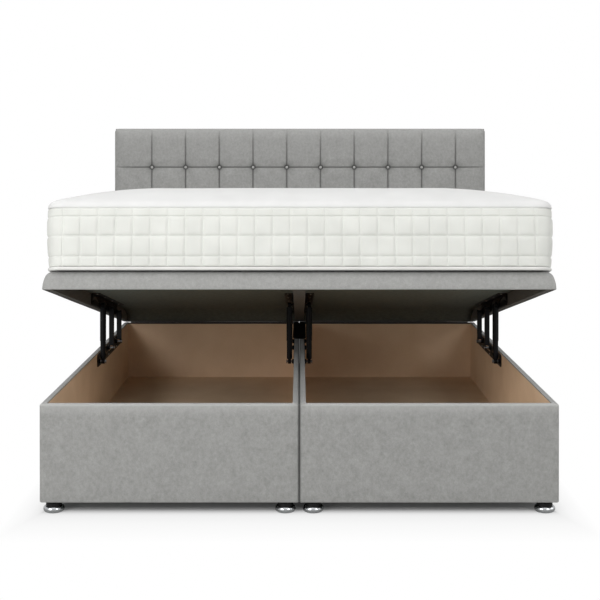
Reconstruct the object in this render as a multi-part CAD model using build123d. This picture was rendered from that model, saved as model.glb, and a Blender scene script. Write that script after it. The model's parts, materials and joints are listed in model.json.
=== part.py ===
from build123d import *
import os
from math import acos, cos, degrees, radians, sin

# Ottoman bed: two half bases side by side, one lid over both that lifts at the foot,
# a mattress on the lid and a tufted headboard on struts behind it.
# X runs across the bed, Y towards the head, Z up, all in millimetres.
# The lid stands open, as a person holds it while reaching into the storage.

# Overall sizes: the lid is a margin wider and longer than the mattress that it carries
mattress_width = 1812.0
mattress_length = 2000.0
mattress_side_margin = 9.0
mattress_rear_inset = 30.0
base_height = 348.0
glide_height = 41.0
halves_gap = 0.8
lid_thickness = 68.0
lid_gap = 1.5
lid_angle_degrees = 11.3

# Base panels and upholstery
panel_thickness = 18.0
cover_thickness = 4.0
cover_corner_radius = 12.0
cover_top_edge_radius = 6.0
cover_fold_width = 21.0
cover_hem_width = 35.0
floor_height = 65.0
floor_thickness = 12.0
bearer_count = 5
bearer_width = 45.0
corner_block_size = 75.0
dust_cover_thickness = 1.2
dust_cover_clearance = 0.4

# Glides
glide_outer_inset = 41.5
glide_inner_inset = 49.0
glide_radius = 37.0
glide_foot_radius = 27.0
glide_bowl_height = 21.0
glide_waist_height = 13.0
glide_rim_radius = 33.0
glide_neck_radius = 28.0
glide_collar_radius = 32.0
glide_collar_height = 6.0
glide_stem_radius = 6.0
glide_stem_clearance = 1.0
link_length = 190.0
link_width = 32.0
link_thickness = 3.0
link_inset = 230.0

# Rear hinges
hinge_outer_margin = 34.0
hinge_inner_margin = 3.0
hinge_barrel_radius = 6.0
hinge_face_clearance = 0.5
hinge_pin_radius = 2.5
hinge_pin_clearance = 0.05
hinge_leaf_thickness = 2.5
hinge_leaf_height = 46.0
hinge_leaf_clearance = 1.5
hinge_knuckle_count = 13
hinge_knuckle_gap = 0.4
hinge_pin_head = 1.5

# Lid frame
rail_thickness = 18.0
lid_cover_thickness = 3.0
lid_edge_inset = 34.0
lid_height_shares = (0.0, 0.30, 0.53, 0.70, 0.82, 0.92, 0.98, 1.0)
lid_inset_shares = (0.0, 0.03, 0.12, 0.22, 0.36, 0.56, 0.80, 1.0)
lid_corner_radius = 10.0
lid_recess = 56.0
lining_thickness = 1.0
centre_rail_width = 46.0
platform_gap = 4.0

# Lifting mechanisms, measured from the inner face of the wall that carries them
# and from the head end of the base
bar_offset = 21.0
base_plate_thickness = 3.0
bracket_offset = 4.5
bracket_thickness = 2.5
bracket_flange_width = 36.0
bracket_bottom_height = 6.0
bracket_end_radius = 9.0
side_clearance = 0.6
strut_reach = 940.0
middle_arm_reach = 700.0
rear_arm_reach = 470.0
strut_pivot_drop = 40.0
middle_arm_pivot_drop = 18.0
rear_arm_pivot_drop = 25.0
base_plate_top_drop = 7.0
base_plate_bottom_drop = 62.0
base_plate_front_overhang = 34.0
base_plate_rear_overhang = 190.0
bracket_overhang = 23.0
pivot_lobe_radius = 15.0
pivot_boss_radius = 10.0
pivot_pin_radius = 5.0
pivot_pin_clearance = 0.05
pivot_head_radius = 8.5
pivot_head_thickness = 3.0
plate_window_height = 22.0
plate_window_margin_share = 0.13
plate_bolt_distance = 30.0
plate_rim_width = 18.0
plate_bolt_hole_radius = 4.0
bridge_width = 62.0
bridge_thickness = 2.6
bridge_front_reach = 555.0
bridge_rear_reach = 26.0
arm_width = 21.0
arm_wall = 2.5
arm_end_radius = 10.5
roller_radius = 6.0
roller_clearance = 1.0
roller_head_radius = 8.5
roller_head_thickness = 2.0
roller_head_gap = 0.5
top_pin_radius = 4.5
pin_height = 20.0
closed_pin_height = 25.0

# Gas struts
strut_closed_length = 215.0
cylinder_radius = 12.0
cylinder_bore_radius = 10.0
cylinder_length = 152.0
cylinder_end_thickness = 6.0
strut_rod_radius = 5.0
strut_running_clearance = 0.1
piston_length = 14.0
shroud_radius = 13.5
shroud_bore_radius = 12.5
shroud_overlap = 60.0
strut_eye_length = 24.0
strut_eye_width = 14.0

# Mattress
mattress_corner_radius = 50.0
mattress_seam_height = 245.0
mattress_crown = 85.0
crown_side_run = 380.0
crown_end_run = 200.0
seam_rebate = 14.0
piping_radius = 7.0
piping_stand_out = 4.0
piping_clearance = 0.2
border_thickness = 22.0
foam_side_thickness = 20.0
foam_base_thickness = 20.0
foam_top_thickness = 32.0
border_bulge = 4.0
border_row_shares = (0.20, 0.328, 0.339, 0.133)
bulge_height_shares = (0.0, 0.12, 0.5, 0.88)
bulge_depth_shares = (0.0, 0.75, 1.0, 0.75)
crown_inset_shares = (0.0, 0.02, 0.10, 0.25, 0.45, 0.70, 1.0)
crown_height_shares = (0.0, 0.12, 0.34, 0.60, 0.81, 0.95, 1.0)

# Headboard
headboard_width = 1945.0
headboard_top = 1403.0
headboard_bottom = 420.0
headboard_gap = 40.0
pad_depth = 50.0
pad_edge_radius = 16.0
pad_corner_radius = 20.0
board_thickness = 15.0
board_inset = 6.0
button_pitch = 178.0
button_columns = 10
button_shift = 23.0
button_row_pitch = 204.0
button_rows = 4
seam_depth = 17.0
seam_shoulder_depth = 6.0
seam_shoulder = 11.0
seam_run = 42.0
button_radius = 11.5
button_well_clearance = 1.0
button_dome = 4.0
button_height = 9.0
strut_timber_width = 70.0
strut_timber_thickness = 25.0
strut_timber_place = 520.0
strut_timber_bottom = 75.0
strut_timber_top = 1100.0
packer_height = 60.0
packer_heights = (120.0, 270.0)
bolt_head_radius = 9.0
bolt_head_thickness = 6.0
washer_radius = 13.0
washer_thickness = 2.0

# How far a cutting body runs past the face that it cuts
overrun = 5.0

# Places that follow from the sizes
bed_width = mattress_width + 2 * mattress_side_margin
bed_length = mattress_length + mattress_rear_inset
half_width = bed_width / 2
back_stack = headboard_gap + pad_depth + board_thickness + strut_timber_thickness
total_depth = bed_length + back_stack + washer_thickness + bolt_head_thickness
foot_face = -total_depth / 2
head_face = foot_face + bed_length
base_bottom = glide_height
base_top = base_bottom + base_height
panel_bottom = base_bottom + cover_thickness
panel_top = base_top - cover_thickness
floor_top = base_bottom + floor_height
floor_bottom = floor_top - floor_thickness
outer_wall_face = half_width - cover_thickness - panel_thickness
inner_wall_face = halves_gap / 2 + cover_thickness + panel_thickness
foot_wall_face = foot_face + cover_thickness + panel_thickness
head_wall_face = head_face - cover_thickness - panel_thickness
hinge_y = head_face + hinge_barrel_radius + hinge_face_clearance
hinge_z = base_top + lid_gap / 2
lid_bottom = base_top + lid_gap
lid_top = lid_bottom + lid_thickness
lid_angle = radians(lid_angle_degrees)
strut_station = bed_length - strut_reach
middle_arm_station = bed_length - middle_arm_reach
rear_arm_station = bed_length - rear_arm_reach
pin_level = lid_bottom - hinge_z + pin_height
closed_pin_level = lid_bottom - hinge_z + closed_pin_height


# Where each bar stands, and where its upper pin goes. A bar is given by its distance
# from the foot and the height of its lower pivot.

strut_pivot = (strut_station, base_top - strut_pivot_drop)
middle_arm_pivot = (middle_arm_station, base_top - middle_arm_pivot_drop)
rear_arm_pivot = (rear_arm_station, base_top - rear_arm_pivot_drop)


def open_length(pivot):
    """Length from a bar's pivot to its upper pin when the lid stands open."""
    station, pivot_z = pivot
    reach = hinge_y - foot_face - station
    rise = (pin_level + reach * sin(lid_angle)) / cos(lid_angle)
    return rise + hinge_z - pivot_z


def closed_swing(pivot, length):
    """Angle from upright, in radians, of a closed bar of this length."""
    return acos((hinge_z - pivot[1] + closed_pin_level) / length)


def pin_in_lid(pivot, closed_length, share):
    """Upper pin's Y and Z in the closed lid, when the lid is open by this share."""
    station, pivot_z = pivot
    length = closed_length + (open_length(pivot) - closed_length) * share
    swing = closed_swing(pivot, closed_length) * (1 - share)
    tilt = lid_angle * share
    y = foot_face + station - length * sin(swing) - hinge_y
    z = pivot_z + length * cos(swing) - hinge_z
    return (hinge_y + y * cos(tilt) - z * sin(tilt), hinge_z + y * sin(tilt) + z * cos(tilt))


strut_length = open_length(strut_pivot)
middle_arm_length = open_length(middle_arm_pivot)
rear_arm_length = open_length(rear_arm_pivot)
bars = (
    (strut_pivot, strut_closed_length),
    (middle_arm_pivot, middle_arm_length),
    (rear_arm_pivot, rear_arm_length),
)


# Shapes that several pieces share

def block(x_range, y_range, z_range):
    """Box between two corners, given as its ranges along X, Y and Z."""
    ranges = (x_range, y_range, z_range)
    size = [high - low for low, high in ranges]
    centre = [(high + low) / 2 for low, high in ranges]
    return Pos(*centre) * Box(*size)


def crosswise_rod(radius, x_range, y, z):
    """Round bar along X."""
    low, high = x_range
    return Pos((low + high) / 2, y, z) * Rot(0, 90, 0) * Cylinder(radius, high - low)


def crosswise_plate(profile, x_range):
    """Plate square to X, from an outline whose two directions are Y and Z."""
    low, high = x_range
    across = Plane(origin=(low, 0, 0), x_dir=(0, 1, 0), z_dir=(1, 0, 0))
    return extrude(across * profile, high - low)


def both_sides(part):
    """The part and its mirror image on the other side of the bed."""
    return [part, mirror(part, about=Plane.YZ)]


def opened(part):
    """A piece of the lid, turned from closed to open about the rear hinges."""
    return part.rotate(Axis((0, hinge_y, hinge_z), (-1, 0, 0)), lid_angle_degrees)


def rounded_section(width, length, radius, centre_y, z):
    """Flat rectangle with round corners, level with the bed."""
    return Pos(0, centre_y, z) * RectangleRounded(width, length, radius)


# Half bases, built for the right hand half

half_inner_edge = halves_gap / 2
half_outer_edge = half_width
half_x_range = (half_inner_edge, half_outer_edge)
inside_x_range = (inner_wall_face, outer_wall_face)
inside_y_range = (foot_wall_face, head_wall_face)
panel_z_range = (panel_bottom, panel_top)


def side_panel(x_low):
    """Side board from the foot cover to the head cover."""
    y_range = (foot_face + cover_thickness, head_face - cover_thickness)
    return block((x_low, x_low + panel_thickness), y_range, panel_z_range)


def end_panel(y_low):
    """Foot or head board between the two side boards."""
    return block(inside_x_range, (y_low, y_low + panel_thickness), panel_z_range)


def floor_board():
    """Floor of the storage."""
    return block(inside_x_range, inside_y_range, (floor_bottom, floor_top))


def bearers():
    """Cross bearers under the floor and the corner blocks that hold the glides."""
    low, high = inside_y_range
    z_range = (panel_bottom, floor_bottom)
    free = high - low - 2 * corner_block_size - bearer_width
    parts = []
    for index in range(bearer_count):
        start = low + corner_block_size + free * (index + 0.5) / bearer_count
        parts.append(block(inside_x_range, (start, start + bearer_width), z_range))
    for x in (inner_wall_face, outer_wall_face - corner_block_size):
        for y in (low, high - corner_block_size):
            corner = block((x, x + corner_block_size), (y, y + corner_block_size), z_range)
            parts.append(corner)
    return parts


def base_cover():
    """Upholstery round one half, folded over the boards and hemmed underneath."""
    shell = block(half_x_range, (foot_face, head_face), (base_bottom, base_top))
    uprights = shell.edges().filter_by(Axis.Z)
    shell = fillet(uprights, cover_corner_radius)
    bottom = shell.faces().sort_by(Axis.Z)[0].edges()
    shell = fillet(bottom, cover_corner_radius)
    top = shell.faces().sort_by(Axis.Z)[-1].edges()
    shell = fillet(top, cover_top_edge_radius)
    boards = block(
        (half_inner_edge + cover_thickness, half_outer_edge - cover_thickness),
        (foot_face + cover_thickness, head_face - cover_thickness),
        panel_z_range,
    )
    mouth = block(
        (half_inner_edge + cover_fold_width, half_outer_edge - cover_fold_width),
        (foot_face + cover_fold_width, head_face - cover_fold_width),
        (panel_top - overrun, base_top + overrun),
    )
    underside = block(
        (half_inner_edge + cover_hem_width, half_outer_edge - cover_hem_width),
        (foot_face + cover_hem_width, head_face - cover_hem_width),
        (base_bottom - overrun, panel_bottom + overrun),
    )
    return shell - boards - mouth - underside


def glide_places():
    """Centres of the four glides of the right hand half."""
    xs = (half_inner_edge + glide_inner_inset, half_outer_edge - glide_outer_inset)
    ys = (foot_face + glide_outer_inset, head_face - glide_outer_inset)
    return [(x, y) for x in xs for y in ys]


def dust_cover():
    """Thin cloth under the bearers, inside the hem, with holes for the stems."""
    edge = cover_hem_width + dust_cover_clearance
    cloth = block(
        (half_inner_edge + edge, half_outer_edge - edge),
        (foot_face + edge, head_face - edge),
        (panel_bottom - dust_cover_thickness, panel_bottom),
    )
    hole = Cylinder(glide_stem_radius + glide_stem_clearance, 2 * overrun)
    for x, y in glide_places():
        cloth -= Pos(x, y, panel_bottom) * hole
    return cloth


def glide_bowl():
    """Bright bowl that stands on the floor, widest at its waist."""
    waist = (glide_radius, glide_waist_height)
    rim = (glide_rim_radius, glide_bowl_height)
    with BuildPart() as bowl:
        with BuildSketch(Plane.XZ):
            with BuildLine():
                Line((0, 0), (glide_foot_radius, 0))
                ThreePointArc((glide_foot_radius, 0), waist, rim)
                Polyline(rim, (0, glide_bowl_height), (0, 0))
            make_face()
        revolve(axis=Axis.Z)
    return bowl.part


def glide_socket():
    """Dark neck and collar above the bowl, with the stem into the corner block."""
    neck_height = glide_height - glide_collar_height - glide_bowl_height
    neck = Cylinder(glide_neck_radius, neck_height, align=(Align.CENTER, Align.CENTER, Align.MIN))
    collar = Cone(
        glide_neck_radius,
        glide_collar_radius,
        glide_collar_height,
        align=(Align.CENTER, Align.CENTER, Align.MIN),
    )
    stem_length = panel_bottom - base_bottom
    stem = Cylinder(glide_stem_radius, stem_length, align=(Align.CENTER, Align.CENTER, Align.MIN))
    collar_start = glide_bowl_height + neck_height
    socket = Pos(0, 0, glide_bowl_height) * neck + Pos(0, 0, collar_start) * collar
    return socket + Pos(0, 0, base_bottom) * stem


def glide_set(shape):
    """One copy of a glide's piece at each of the eight places."""
    parts = []
    for x, y in glide_places():
        parts += [Pos(x, y, 0) * shape, Pos(-x, y, 0) * shape]
    return parts


def link_plates():
    """Flat bars that tie the two halves together, under the foot and the head."""
    parts = []
    z_range = (base_bottom - link_thickness, base_bottom)
    for y in (foot_face + link_inset, head_face - link_inset):
        bar = block((-link_length / 2, link_length / 2), (y, y + link_width), z_range)
        parts.append(fillet(bar.edges().filter_by(Axis.Z), link_width / 4))
    return parts


# Rear hinges

hinge_inner_end = half_inner_edge + hinge_inner_margin
hinge_outer_end = half_outer_edge - hinge_outer_margin
hinge_width = hinge_outer_end - hinge_inner_end
hinge_knuckle = hinge_width / hinge_knuckle_count


def knuckles(first, end_gap):
    """Ranges along X of every second knuckle, from the first one, shortened at both ends."""
    ranges = []
    for index in range(first, hinge_knuckle_count, 2):
        low = -hinge_width / 2 + hinge_knuckle * index
        ranges.append((low + end_gap, low + hinge_knuckle - end_gap))
    return ranges


def hinge_leaf(upward, knuckle_ranges):
    """Leaf on the rear face, upward on the lid or downward on the base, with knuckles."""
    clear = hinge_barrel_radius + hinge_leaf_clearance
    far = hinge_leaf_height
    z_range = (hinge_z + clear, hinge_z + far) if upward else (hinge_z - far, hinge_z - clear)
    neck_range = (hinge_z, hinge_z + clear) if upward else (hinge_z - clear, hinge_z)
    y_range = (head_face, head_face + hinge_leaf_thickness)
    leaf = block((-hinge_width / 2, hinge_width / 2), y_range, z_range)
    for low, high in knuckle_ranges:
        leaf += block((low, high), y_range, neck_range)
        leaf += crosswise_rod(hinge_barrel_radius, (low, high), hinge_y, hinge_z)
    bore = hinge_pin_radius + hinge_pin_clearance
    whole = (-hinge_width / 2 - overrun, hinge_width / 2 + overrun)
    return leaf - crosswise_rod(bore, whole, hinge_y, hinge_z)


def lid_hinge_leaf():
    """Leaf on the lid, with a running gap beside each of its knuckles."""
    return hinge_leaf(True, knuckles(1, hinge_knuckle_gap))


def base_hinge_leaf():
    """Leaf on the base, with the knuckles at both ends."""
    return hinge_leaf(False, knuckles(0, 0))


def hinge_pin():
    """Pin through all the knuckles, with a small head at each end."""
    end = hinge_width / 2
    pin = crosswise_rod(hinge_pin_radius, (-end, end), hinge_y, hinge_z)
    for low, high in ((-end - hinge_pin_head, -end), (end, end + hinge_pin_head)):
        pin += crosswise_rod(hinge_barrel_radius - hinge_pin_head, (low, high), hinge_y, hinge_z)
    return pin


def at_hinges(part):
    """A copy of a hinge's piece behind each half base."""
    centre = (hinge_inner_end + hinge_outer_end) / 2
    return [Pos(centre, 0, 0) * part, Pos(-centre, 0, 0) * part]


# Lid, built closed and then opened

frame_half_width = half_width - lid_cover_thickness
frame_y_range = (foot_face + lid_cover_thickness, head_face - lid_cover_thickness)
rail_bottom = lid_bottom + lid_cover_thickness
recess_top = lid_bottom + lid_recess
platform_bottom = recess_top + lining_thickness
platform_top = lid_top - lid_cover_thickness
rail_inner_face = frame_half_width - rail_thickness - (cover_thickness - lid_cover_thickness)
rail_y_range = (frame_y_range[0] + rail_thickness, frame_y_range[1] - rail_thickness)


def ruled_stack(sections):
    """Solid through level outlines, straight from each to the next."""
    return loft([Sketch() + section for section in sections], ruled=True)


def lid_block(half, y_range, z_range, edge_inset, corner_radius):
    """Slab whose foot and sides draw in towards the top, with an upright rear face."""
    sections = []
    low, high = z_range
    for height_share, inset_share in zip(lid_height_shares, lid_inset_shares):
        inset = edge_inset * inset_share
        length = y_range[1] - y_range[0] - inset
        centre_y = y_range[1] - length / 2
        z = low + (high - low) * height_share
        width = 2 * (half - inset)
        sections.append(rounded_section(width, length, corner_radius, centre_y, z))
    return ruled_stack(sections)


def lid_envelope():
    """Space inside the lid's cover, which its rails and boards fill."""
    return lid_block(
        frame_half_width,
        frame_y_range,
        (rail_bottom, platform_top),
        lid_edge_inset - lid_cover_thickness,
        lid_corner_radius - lid_cover_thickness,
    )


def lid_cover(envelope):
    """Upholstery of the lid, turned under the rails."""
    y_range = (foot_face, head_face)
    z_range = (lid_bottom, lid_top)
    slab = lid_block(half_width, y_range, z_range, lid_edge_inset, lid_corner_radius)
    inside = (-rail_inner_face, rail_inner_face)
    opening = block(inside, rail_y_range, (lid_bottom - overrun, rail_bottom + overrun))
    return slab - envelope - opening


def side_rail(envelope):
    """Right hand rail of the lid, shaped by the space in the cover."""
    x_range = (rail_inner_face, frame_half_width)
    return block(x_range, frame_y_range, (rail_bottom, platform_bottom)) & envelope


def end_rail(y_low, envelope):
    """Front or rear rail between the side rails."""
    x_range = (-rail_inner_face, rail_inner_face)
    return block(x_range, (y_low, y_low + rail_thickness), (rail_bottom, platform_bottom)) & envelope


def centre_rail():
    """Rail down the middle of the lid."""
    half = centre_rail_width / 2
    return block((-half, half), rail_y_range, (rail_bottom, recess_top))


def platform(envelope):
    """Right hand platform board, over the rails."""
    x_range = (platform_gap / 2, frame_half_width)
    return block(x_range, frame_y_range, (platform_bottom, platform_top)) & envelope


def lining():
    """Dark cloth under the platform, inside the rails."""
    return block((-rail_inner_face, rail_inner_face), rail_y_range, (recess_top, platform_bottom))


# Lifting mechanisms, built against a wall whose inner face is at X zero

cylinder_top = strut_pivot[1] + cylinder_length
bar_x_range = (bar_offset - arm_width / 2, bar_offset + arm_width / 2)
bracket_x_range = (bracket_offset, bracket_offset + bracket_thickness)
pivots = [pivot for pivot, closed_length in bars]


def four_times(part):
    """A mechanism's piece at both walls of both halves."""
    facing_back = mirror(part, about=Plane.YZ)
    return {
        "left_outer": Pos(-outer_wall_face, 0, 0) * part,
        "left_inner": Pos(-inner_wall_face, 0, 0) * facing_back,
        "right_inner": Pos(inner_wall_face, 0, 0) * part,
        "right_outer": Pos(outer_wall_face, 0, 0) * facing_back,
    }


def base_plate():
    """Plate on the wall with three windows and a boss for each of the three pivots."""
    start = foot_face + strut_station - base_plate_front_overhang
    end = foot_face + rear_arm_station + base_plate_rear_overhang
    top = base_top - base_plate_top_drop
    bottom = base_top - base_plate_bottom_drop
    centre = ((start + end) / 2, (top + bottom) / 2)
    outline = Pos(*centre) * RectangleRounded(end - start, top - bottom, pivot_lobe_radius)
    window_z = bottom + plate_rim_width + plate_window_height / 2
    places = [foot_face + station for station, pivot_z in pivots] + [end]
    for before, after in zip(places[:-1], places[1:]):
        width = (after - before) * (1 - 2 * plate_window_margin_share)
        window = SlotOverall(width, plate_window_height)
        outline -= Pos((before + after) / 2, window_z) * window
        hole = Circle(plate_bolt_hole_radius)
        outline -= Pos(before + plate_bolt_distance, bottom + plate_rim_width / 2) * hole
    for station, pivot_z in pivots:
        outline += Pos(foot_face + station, pivot_z) * Circle(pivot_lobe_radius)
    plate = crosswise_plate(outline, (0, base_plate_thickness))
    boss_end = bar_x_range[0] - side_clearance
    for station, pivot_z in pivots:
        plate += crosswise_rod(pivot_boss_radius, (0, boss_end), foot_face + station, pivot_z)
    return plate


def pivot_pins():
    """The three fixed pins that the bars turn on."""
    pins = []
    boss_end = bar_x_range[0] - side_clearance
    bar_end = bar_x_range[1] + side_clearance
    for station, pivot_z in pivots:
        y = foot_face + station
        pin = crosswise_rod(pivot_pin_radius, (boss_end, bar_end), y, pivot_z)
        head = (bar_end, bar_end + pivot_head_thickness)
        pins.append(pin + crosswise_rod(pivot_head_radius, head, y, pivot_z))
    return pins


def bridge_plate():
    """Plate on top of the two inner walls, under the lid's centre rail."""
    y_range = (head_face - bridge_front_reach, head_face - bridge_rear_reach)
    z_range = (base_top, base_top + bridge_thickness)
    plate = block((-bridge_width / 2, bridge_width / 2), y_range, z_range)
    return fillet(plate.edges().filter_by(Axis.Z), bridge_width / 3)


def arm(pivot, length):
    """Channel arm, open towards the head, with an eye in each cheek at both ends."""
    station, pivot_z = pivot
    y = foot_face + station
    z_range = (pivot_z, pivot_z + length)
    middle_z = (z_range[0] + z_range[1]) / 2
    outline = Pos(y, middle_z) * Rot(0, 0, 90) * SlotOverall(length + 2 * arm_end_radius, 2 * arm_end_radius)
    body = crosswise_plate(outline, bar_x_range)
    inside = (bar_x_range[0] + arm_wall, bar_x_range[1] - arm_wall)
    depth = (y - arm_end_radius + arm_wall, y + arm_end_radius + overrun)
    hollow = block(inside, depth, (z_range[0] - 2 * arm_end_radius, z_range[1] + 2 * arm_end_radius))
    foot_notch = block(
        inside,
        (y - 2 * arm_end_radius, y + overrun),
        (z_range[0] - 2 * arm_end_radius, z_range[0] + arm_end_radius),
    )
    body = body - hollow - foot_notch
    bore = pivot_pin_radius + pivot_pin_clearance
    whole = (bar_x_range[0] - overrun, bar_x_range[1] + overrun)
    body -= crosswise_rod(bore, whole, y, z_range[0])
    return body - crosswise_rod(top_pin_radius, whole, y, z_range[1])


def top_pin(pivot, length, inner_end):
    """Upper pin of a bar with the roller that runs in the bracket's slot."""
    station, pivot_z = pivot
    y = foot_face + station
    z = pivot_z + length
    roller = (bracket_offset - roller_head_gap, bracket_x_range[1] + side_clearance)
    head = (roller[0] - roller_head_thickness, roller[0])
    pin = crosswise_rod(top_pin_radius, (roller[1], inner_end), y, z)
    pin += crosswise_rod(roller_radius, roller, y, z)
    return pin + crosswise_rod(roller_head_radius, head, y, z)


def strut_cylinder():
    """Gas strut's cylinder, with the lower eye and a gland round the rod."""
    station, pivot_z = strut_pivot
    y = foot_face + station
    start = pivot_z + strut_eye_length / 2
    axis = (Align.CENTER, Align.CENTER, Align.MIN)
    tube_length = cylinder_top - start
    bore_length = tube_length - 2 * cylinder_end_thickness
    tube = Cylinder(cylinder_radius, tube_length, align=axis)
    bore = Cylinder(cylinder_bore_radius, bore_length, align=axis)
    gland_radius = strut_rod_radius + strut_running_clearance
    gland = Cylinder(gland_radius, cylinder_end_thickness + 2 * overrun, align=axis)
    gland_start = tube_length - cylinder_end_thickness - overrun
    tube = tube - Pos(0, 0, cylinder_end_thickness) * bore - Pos(0, 0, gland_start) * gland
    placed = Pos(bar_offset, y, start) * tube
    half_eye = strut_eye_width / 2
    eye_range = (bar_offset - half_eye, bar_offset + half_eye)
    eye = crosswise_rod(arm_end_radius, eye_range, y, pivot_z)
    neck = block(
        eye_range,
        (y - half_eye, y + half_eye),
        (pivot_z, start + cylinder_end_thickness / 2),
    )
    bore_radius = pivot_pin_radius + pivot_pin_clearance
    whole = (bar_x_range[0] - overrun, bar_x_range[1] + overrun)
    return placed + eye + neck - crosswise_rod(bore_radius, whole, y, pivot_z)


def strut_rod():
    """Rod with its piston, upper eye and the shroud that covers the polished rod."""
    station, pivot_z = strut_pivot
    y = foot_face + station
    top = pivot_z + strut_length
    axis = (Align.CENTER, Align.CENTER, Align.MIN)
    shroud_top = top - strut_eye_length / 2
    shroud_bottom = cylinder_top - shroud_overlap
    shroud_length = shroud_top - shroud_bottom
    shroud = Cylinder(shroud_radius, shroud_length, align=axis)
    hollow = Cylinder(shroud_bore_radius, shroud_length - cylinder_end_thickness, align=axis)
    shroud -= hollow
    piston_bottom = cylinder_top - cylinder_end_thickness - overrun - piston_length
    rod_length = shroud_top - piston_bottom - cylinder_end_thickness / 2
    rod = Cylinder(strut_rod_radius, rod_length, align=axis)
    piston_radius = cylinder_bore_radius - strut_running_clearance
    rod += Cylinder(piston_radius, piston_length, align=axis)
    half_eye = strut_eye_width / 2
    eye_range = (bar_offset - half_eye, bar_offset + half_eye)
    eye = crosswise_rod(arm_end_radius, eye_range, y, top)
    neck = block(
        eye_range,
        (y - half_eye, y + half_eye),
        (shroud_top - cylinder_end_thickness / 2, top),
    )
    body = Pos(bar_offset, y, shroud_bottom) * shroud + Pos(bar_offset, y, piston_bottom) * rod
    whole = (bar_x_range[0] - overrun, bar_x_range[1] + overrun)
    return body + eye + neck - crosswise_rod(top_pin_radius, whole, y, top)


def pin_slot(pivot, closed_length):
    """Slot that follows the path of one upper pin through the lid's travel, in two arcs."""
    steps = [index / 4 for index in range(5)]
    places = [pin_in_lid(pivot, closed_length, share) for share in steps]
    height = 2 * (roller_radius + roller_clearance)
    slot = Sketch()
    for first in (0, 2):
        path = ThreePointArc(*places[first : first + 3])
        slot += SlotArc(path.edge(), height)
    return slot


def bracket():
    """Angle fixed inside the lid, with a curved slot for each upper pin."""
    ends = (
        pin_in_lid(strut_pivot, strut_closed_length, 0)[0] - bracket_overhang,
        pin_in_lid(rear_arm_pivot, rear_arm_length, 1)[0] + bracket_overhang,
    )
    bottom = lid_bottom + bracket_bottom_height
    height = recess_top - bottom
    centre = ((ends[0] + ends[1]) / 2, (recess_top + bottom) / 2)
    outline = Pos(*centre) * RectangleRounded(ends[1] - ends[0], height, bracket_end_radius)
    for pivot, closed_length in bars:
        outline -= pin_slot(pivot, closed_length)
    web = crosswise_plate(outline, bracket_x_range)
    flange = block(
        (bracket_offset, bracket_offset + bracket_flange_width),
        (ends[0] + bracket_end_radius, ends[1] - bracket_end_radius),
        (recess_top - bracket_thickness, recess_top),
    )
    return web + flange


# Mattress, built on the closed lid and then opened with it

mattress_head = head_face - mattress_rear_inset
mattress_centre_y = mattress_head - mattress_length / 2
border_bottom = lid_top + seam_rebate
border_top = lid_top + mattress_seam_height - seam_rebate
crown_bottom = lid_top + mattress_seam_height


def mattress_section(inset_x, inset_y, radius, z):
    """Level outline of the mattress, drawn in from its full size."""
    width = mattress_width - 2 * inset_x
    length = mattress_length - 2 * inset_y
    return rounded_section(width, length, radius, mattress_centre_y, z)


def mattress_prism(inset, z_low, z_high):
    """Upright slab of the mattress, drawn in by one inset all round."""
    section = mattress_section(inset, inset, mattress_corner_radius - inset, z_low)
    return extrude(section, z_high - z_low)


def mattress_border():
    """Quilted side band: four rows that swell between their stitch lines."""
    height = border_top - border_bottom
    sections = []
    start = border_bottom
    for row_share in border_row_shares:
        row = height * row_share
        for level_share, depth_share in zip(bulge_height_shares, bulge_depth_shares):
            inset = border_bulge * (1 - depth_share)
            z = start + row * level_share
            sections.append(mattress_section(inset, inset, mattress_corner_radius - inset, z))
        start += row
    last_radius = mattress_corner_radius - border_bulge
    sections.append(mattress_section(border_bulge, border_bulge, last_radius, border_top))
    inside = mattress_prism(border_thickness, border_bottom - overrun, border_top + overrun)
    return ruled_stack(sections) - inside


def mattress_core():
    """Foam tray inside the border, hollow where the springs stand."""
    core = mattress_prism(border_thickness, lid_top, border_top)
    core += mattress_prism(seam_rebate, lid_top, border_bottom)
    room_bottom = lid_top + foam_base_thickness
    return core - mattress_prism(border_thickness + foam_side_thickness, room_bottom, border_top + overrun)


def crown(inset, drop):
    """Crowned solid over the seam, drawn in all round and lowered."""
    sections = []
    for inset_share, height_share in zip(crown_inset_shares, crown_height_shares):
        inset_x = inset + crown_side_run * inset_share
        inset_y = inset + crown_end_run * inset_share
        radius = mattress_corner_radius + crown_end_run * inset_share / 2
        z = crown_bottom - drop + mattress_crown * height_share
        sections.append(mattress_section(inset_x, inset_y, radius, z))
    return ruled_stack(sections)


def mattress_top():
    """Crowned top, steeper at the foot and the head than at the sides, hollow underneath."""
    plug = mattress_prism(seam_rebate, border_top, crown_bottom)
    wall = border_thickness + foam_side_thickness
    room = crown(wall, foam_top_thickness)
    room += mattress_prism(wall, border_top - overrun, crown_bottom - foam_top_thickness)
    return crown(border_bulge / 2, 0) + plug - room


def piping(z):
    """Round piping in the groove at a seam."""
    inset = piping_radius - piping_stand_out
    outline = mattress_section(inset, inset, mattress_corner_radius - inset, z)
    path = outline.face().outer_wire()
    ring_plane = Plane(origin=path @ 0, z_dir=path % 0)
    return sweep(ring_plane * Circle(piping_radius - piping_clearance), path=path)


def mattress_piping():
    """Lower and upper piping."""
    return [piping(lid_top + seam_rebate / 2), piping(crown_bottom - seam_rebate / 2)]


# Headboard

pad_front = head_face + headboard_gap
board_front = pad_front + pad_depth
board_back = board_front + board_thickness
timber_back = board_back + strut_timber_thickness
headboard_half = headboard_width / 2


def button_xs():
    """X of each column of buttons, which lie a little to the right of the middle."""
    first = button_shift - button_pitch * (button_columns - 1) / 2
    return [first + button_pitch * index for index in range(button_columns)]


def button_zs():
    """Height of each row of buttons, from the top down."""
    return [headboard_top - button_row_pitch * (index + 1) for index in range(button_rows)]


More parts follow.
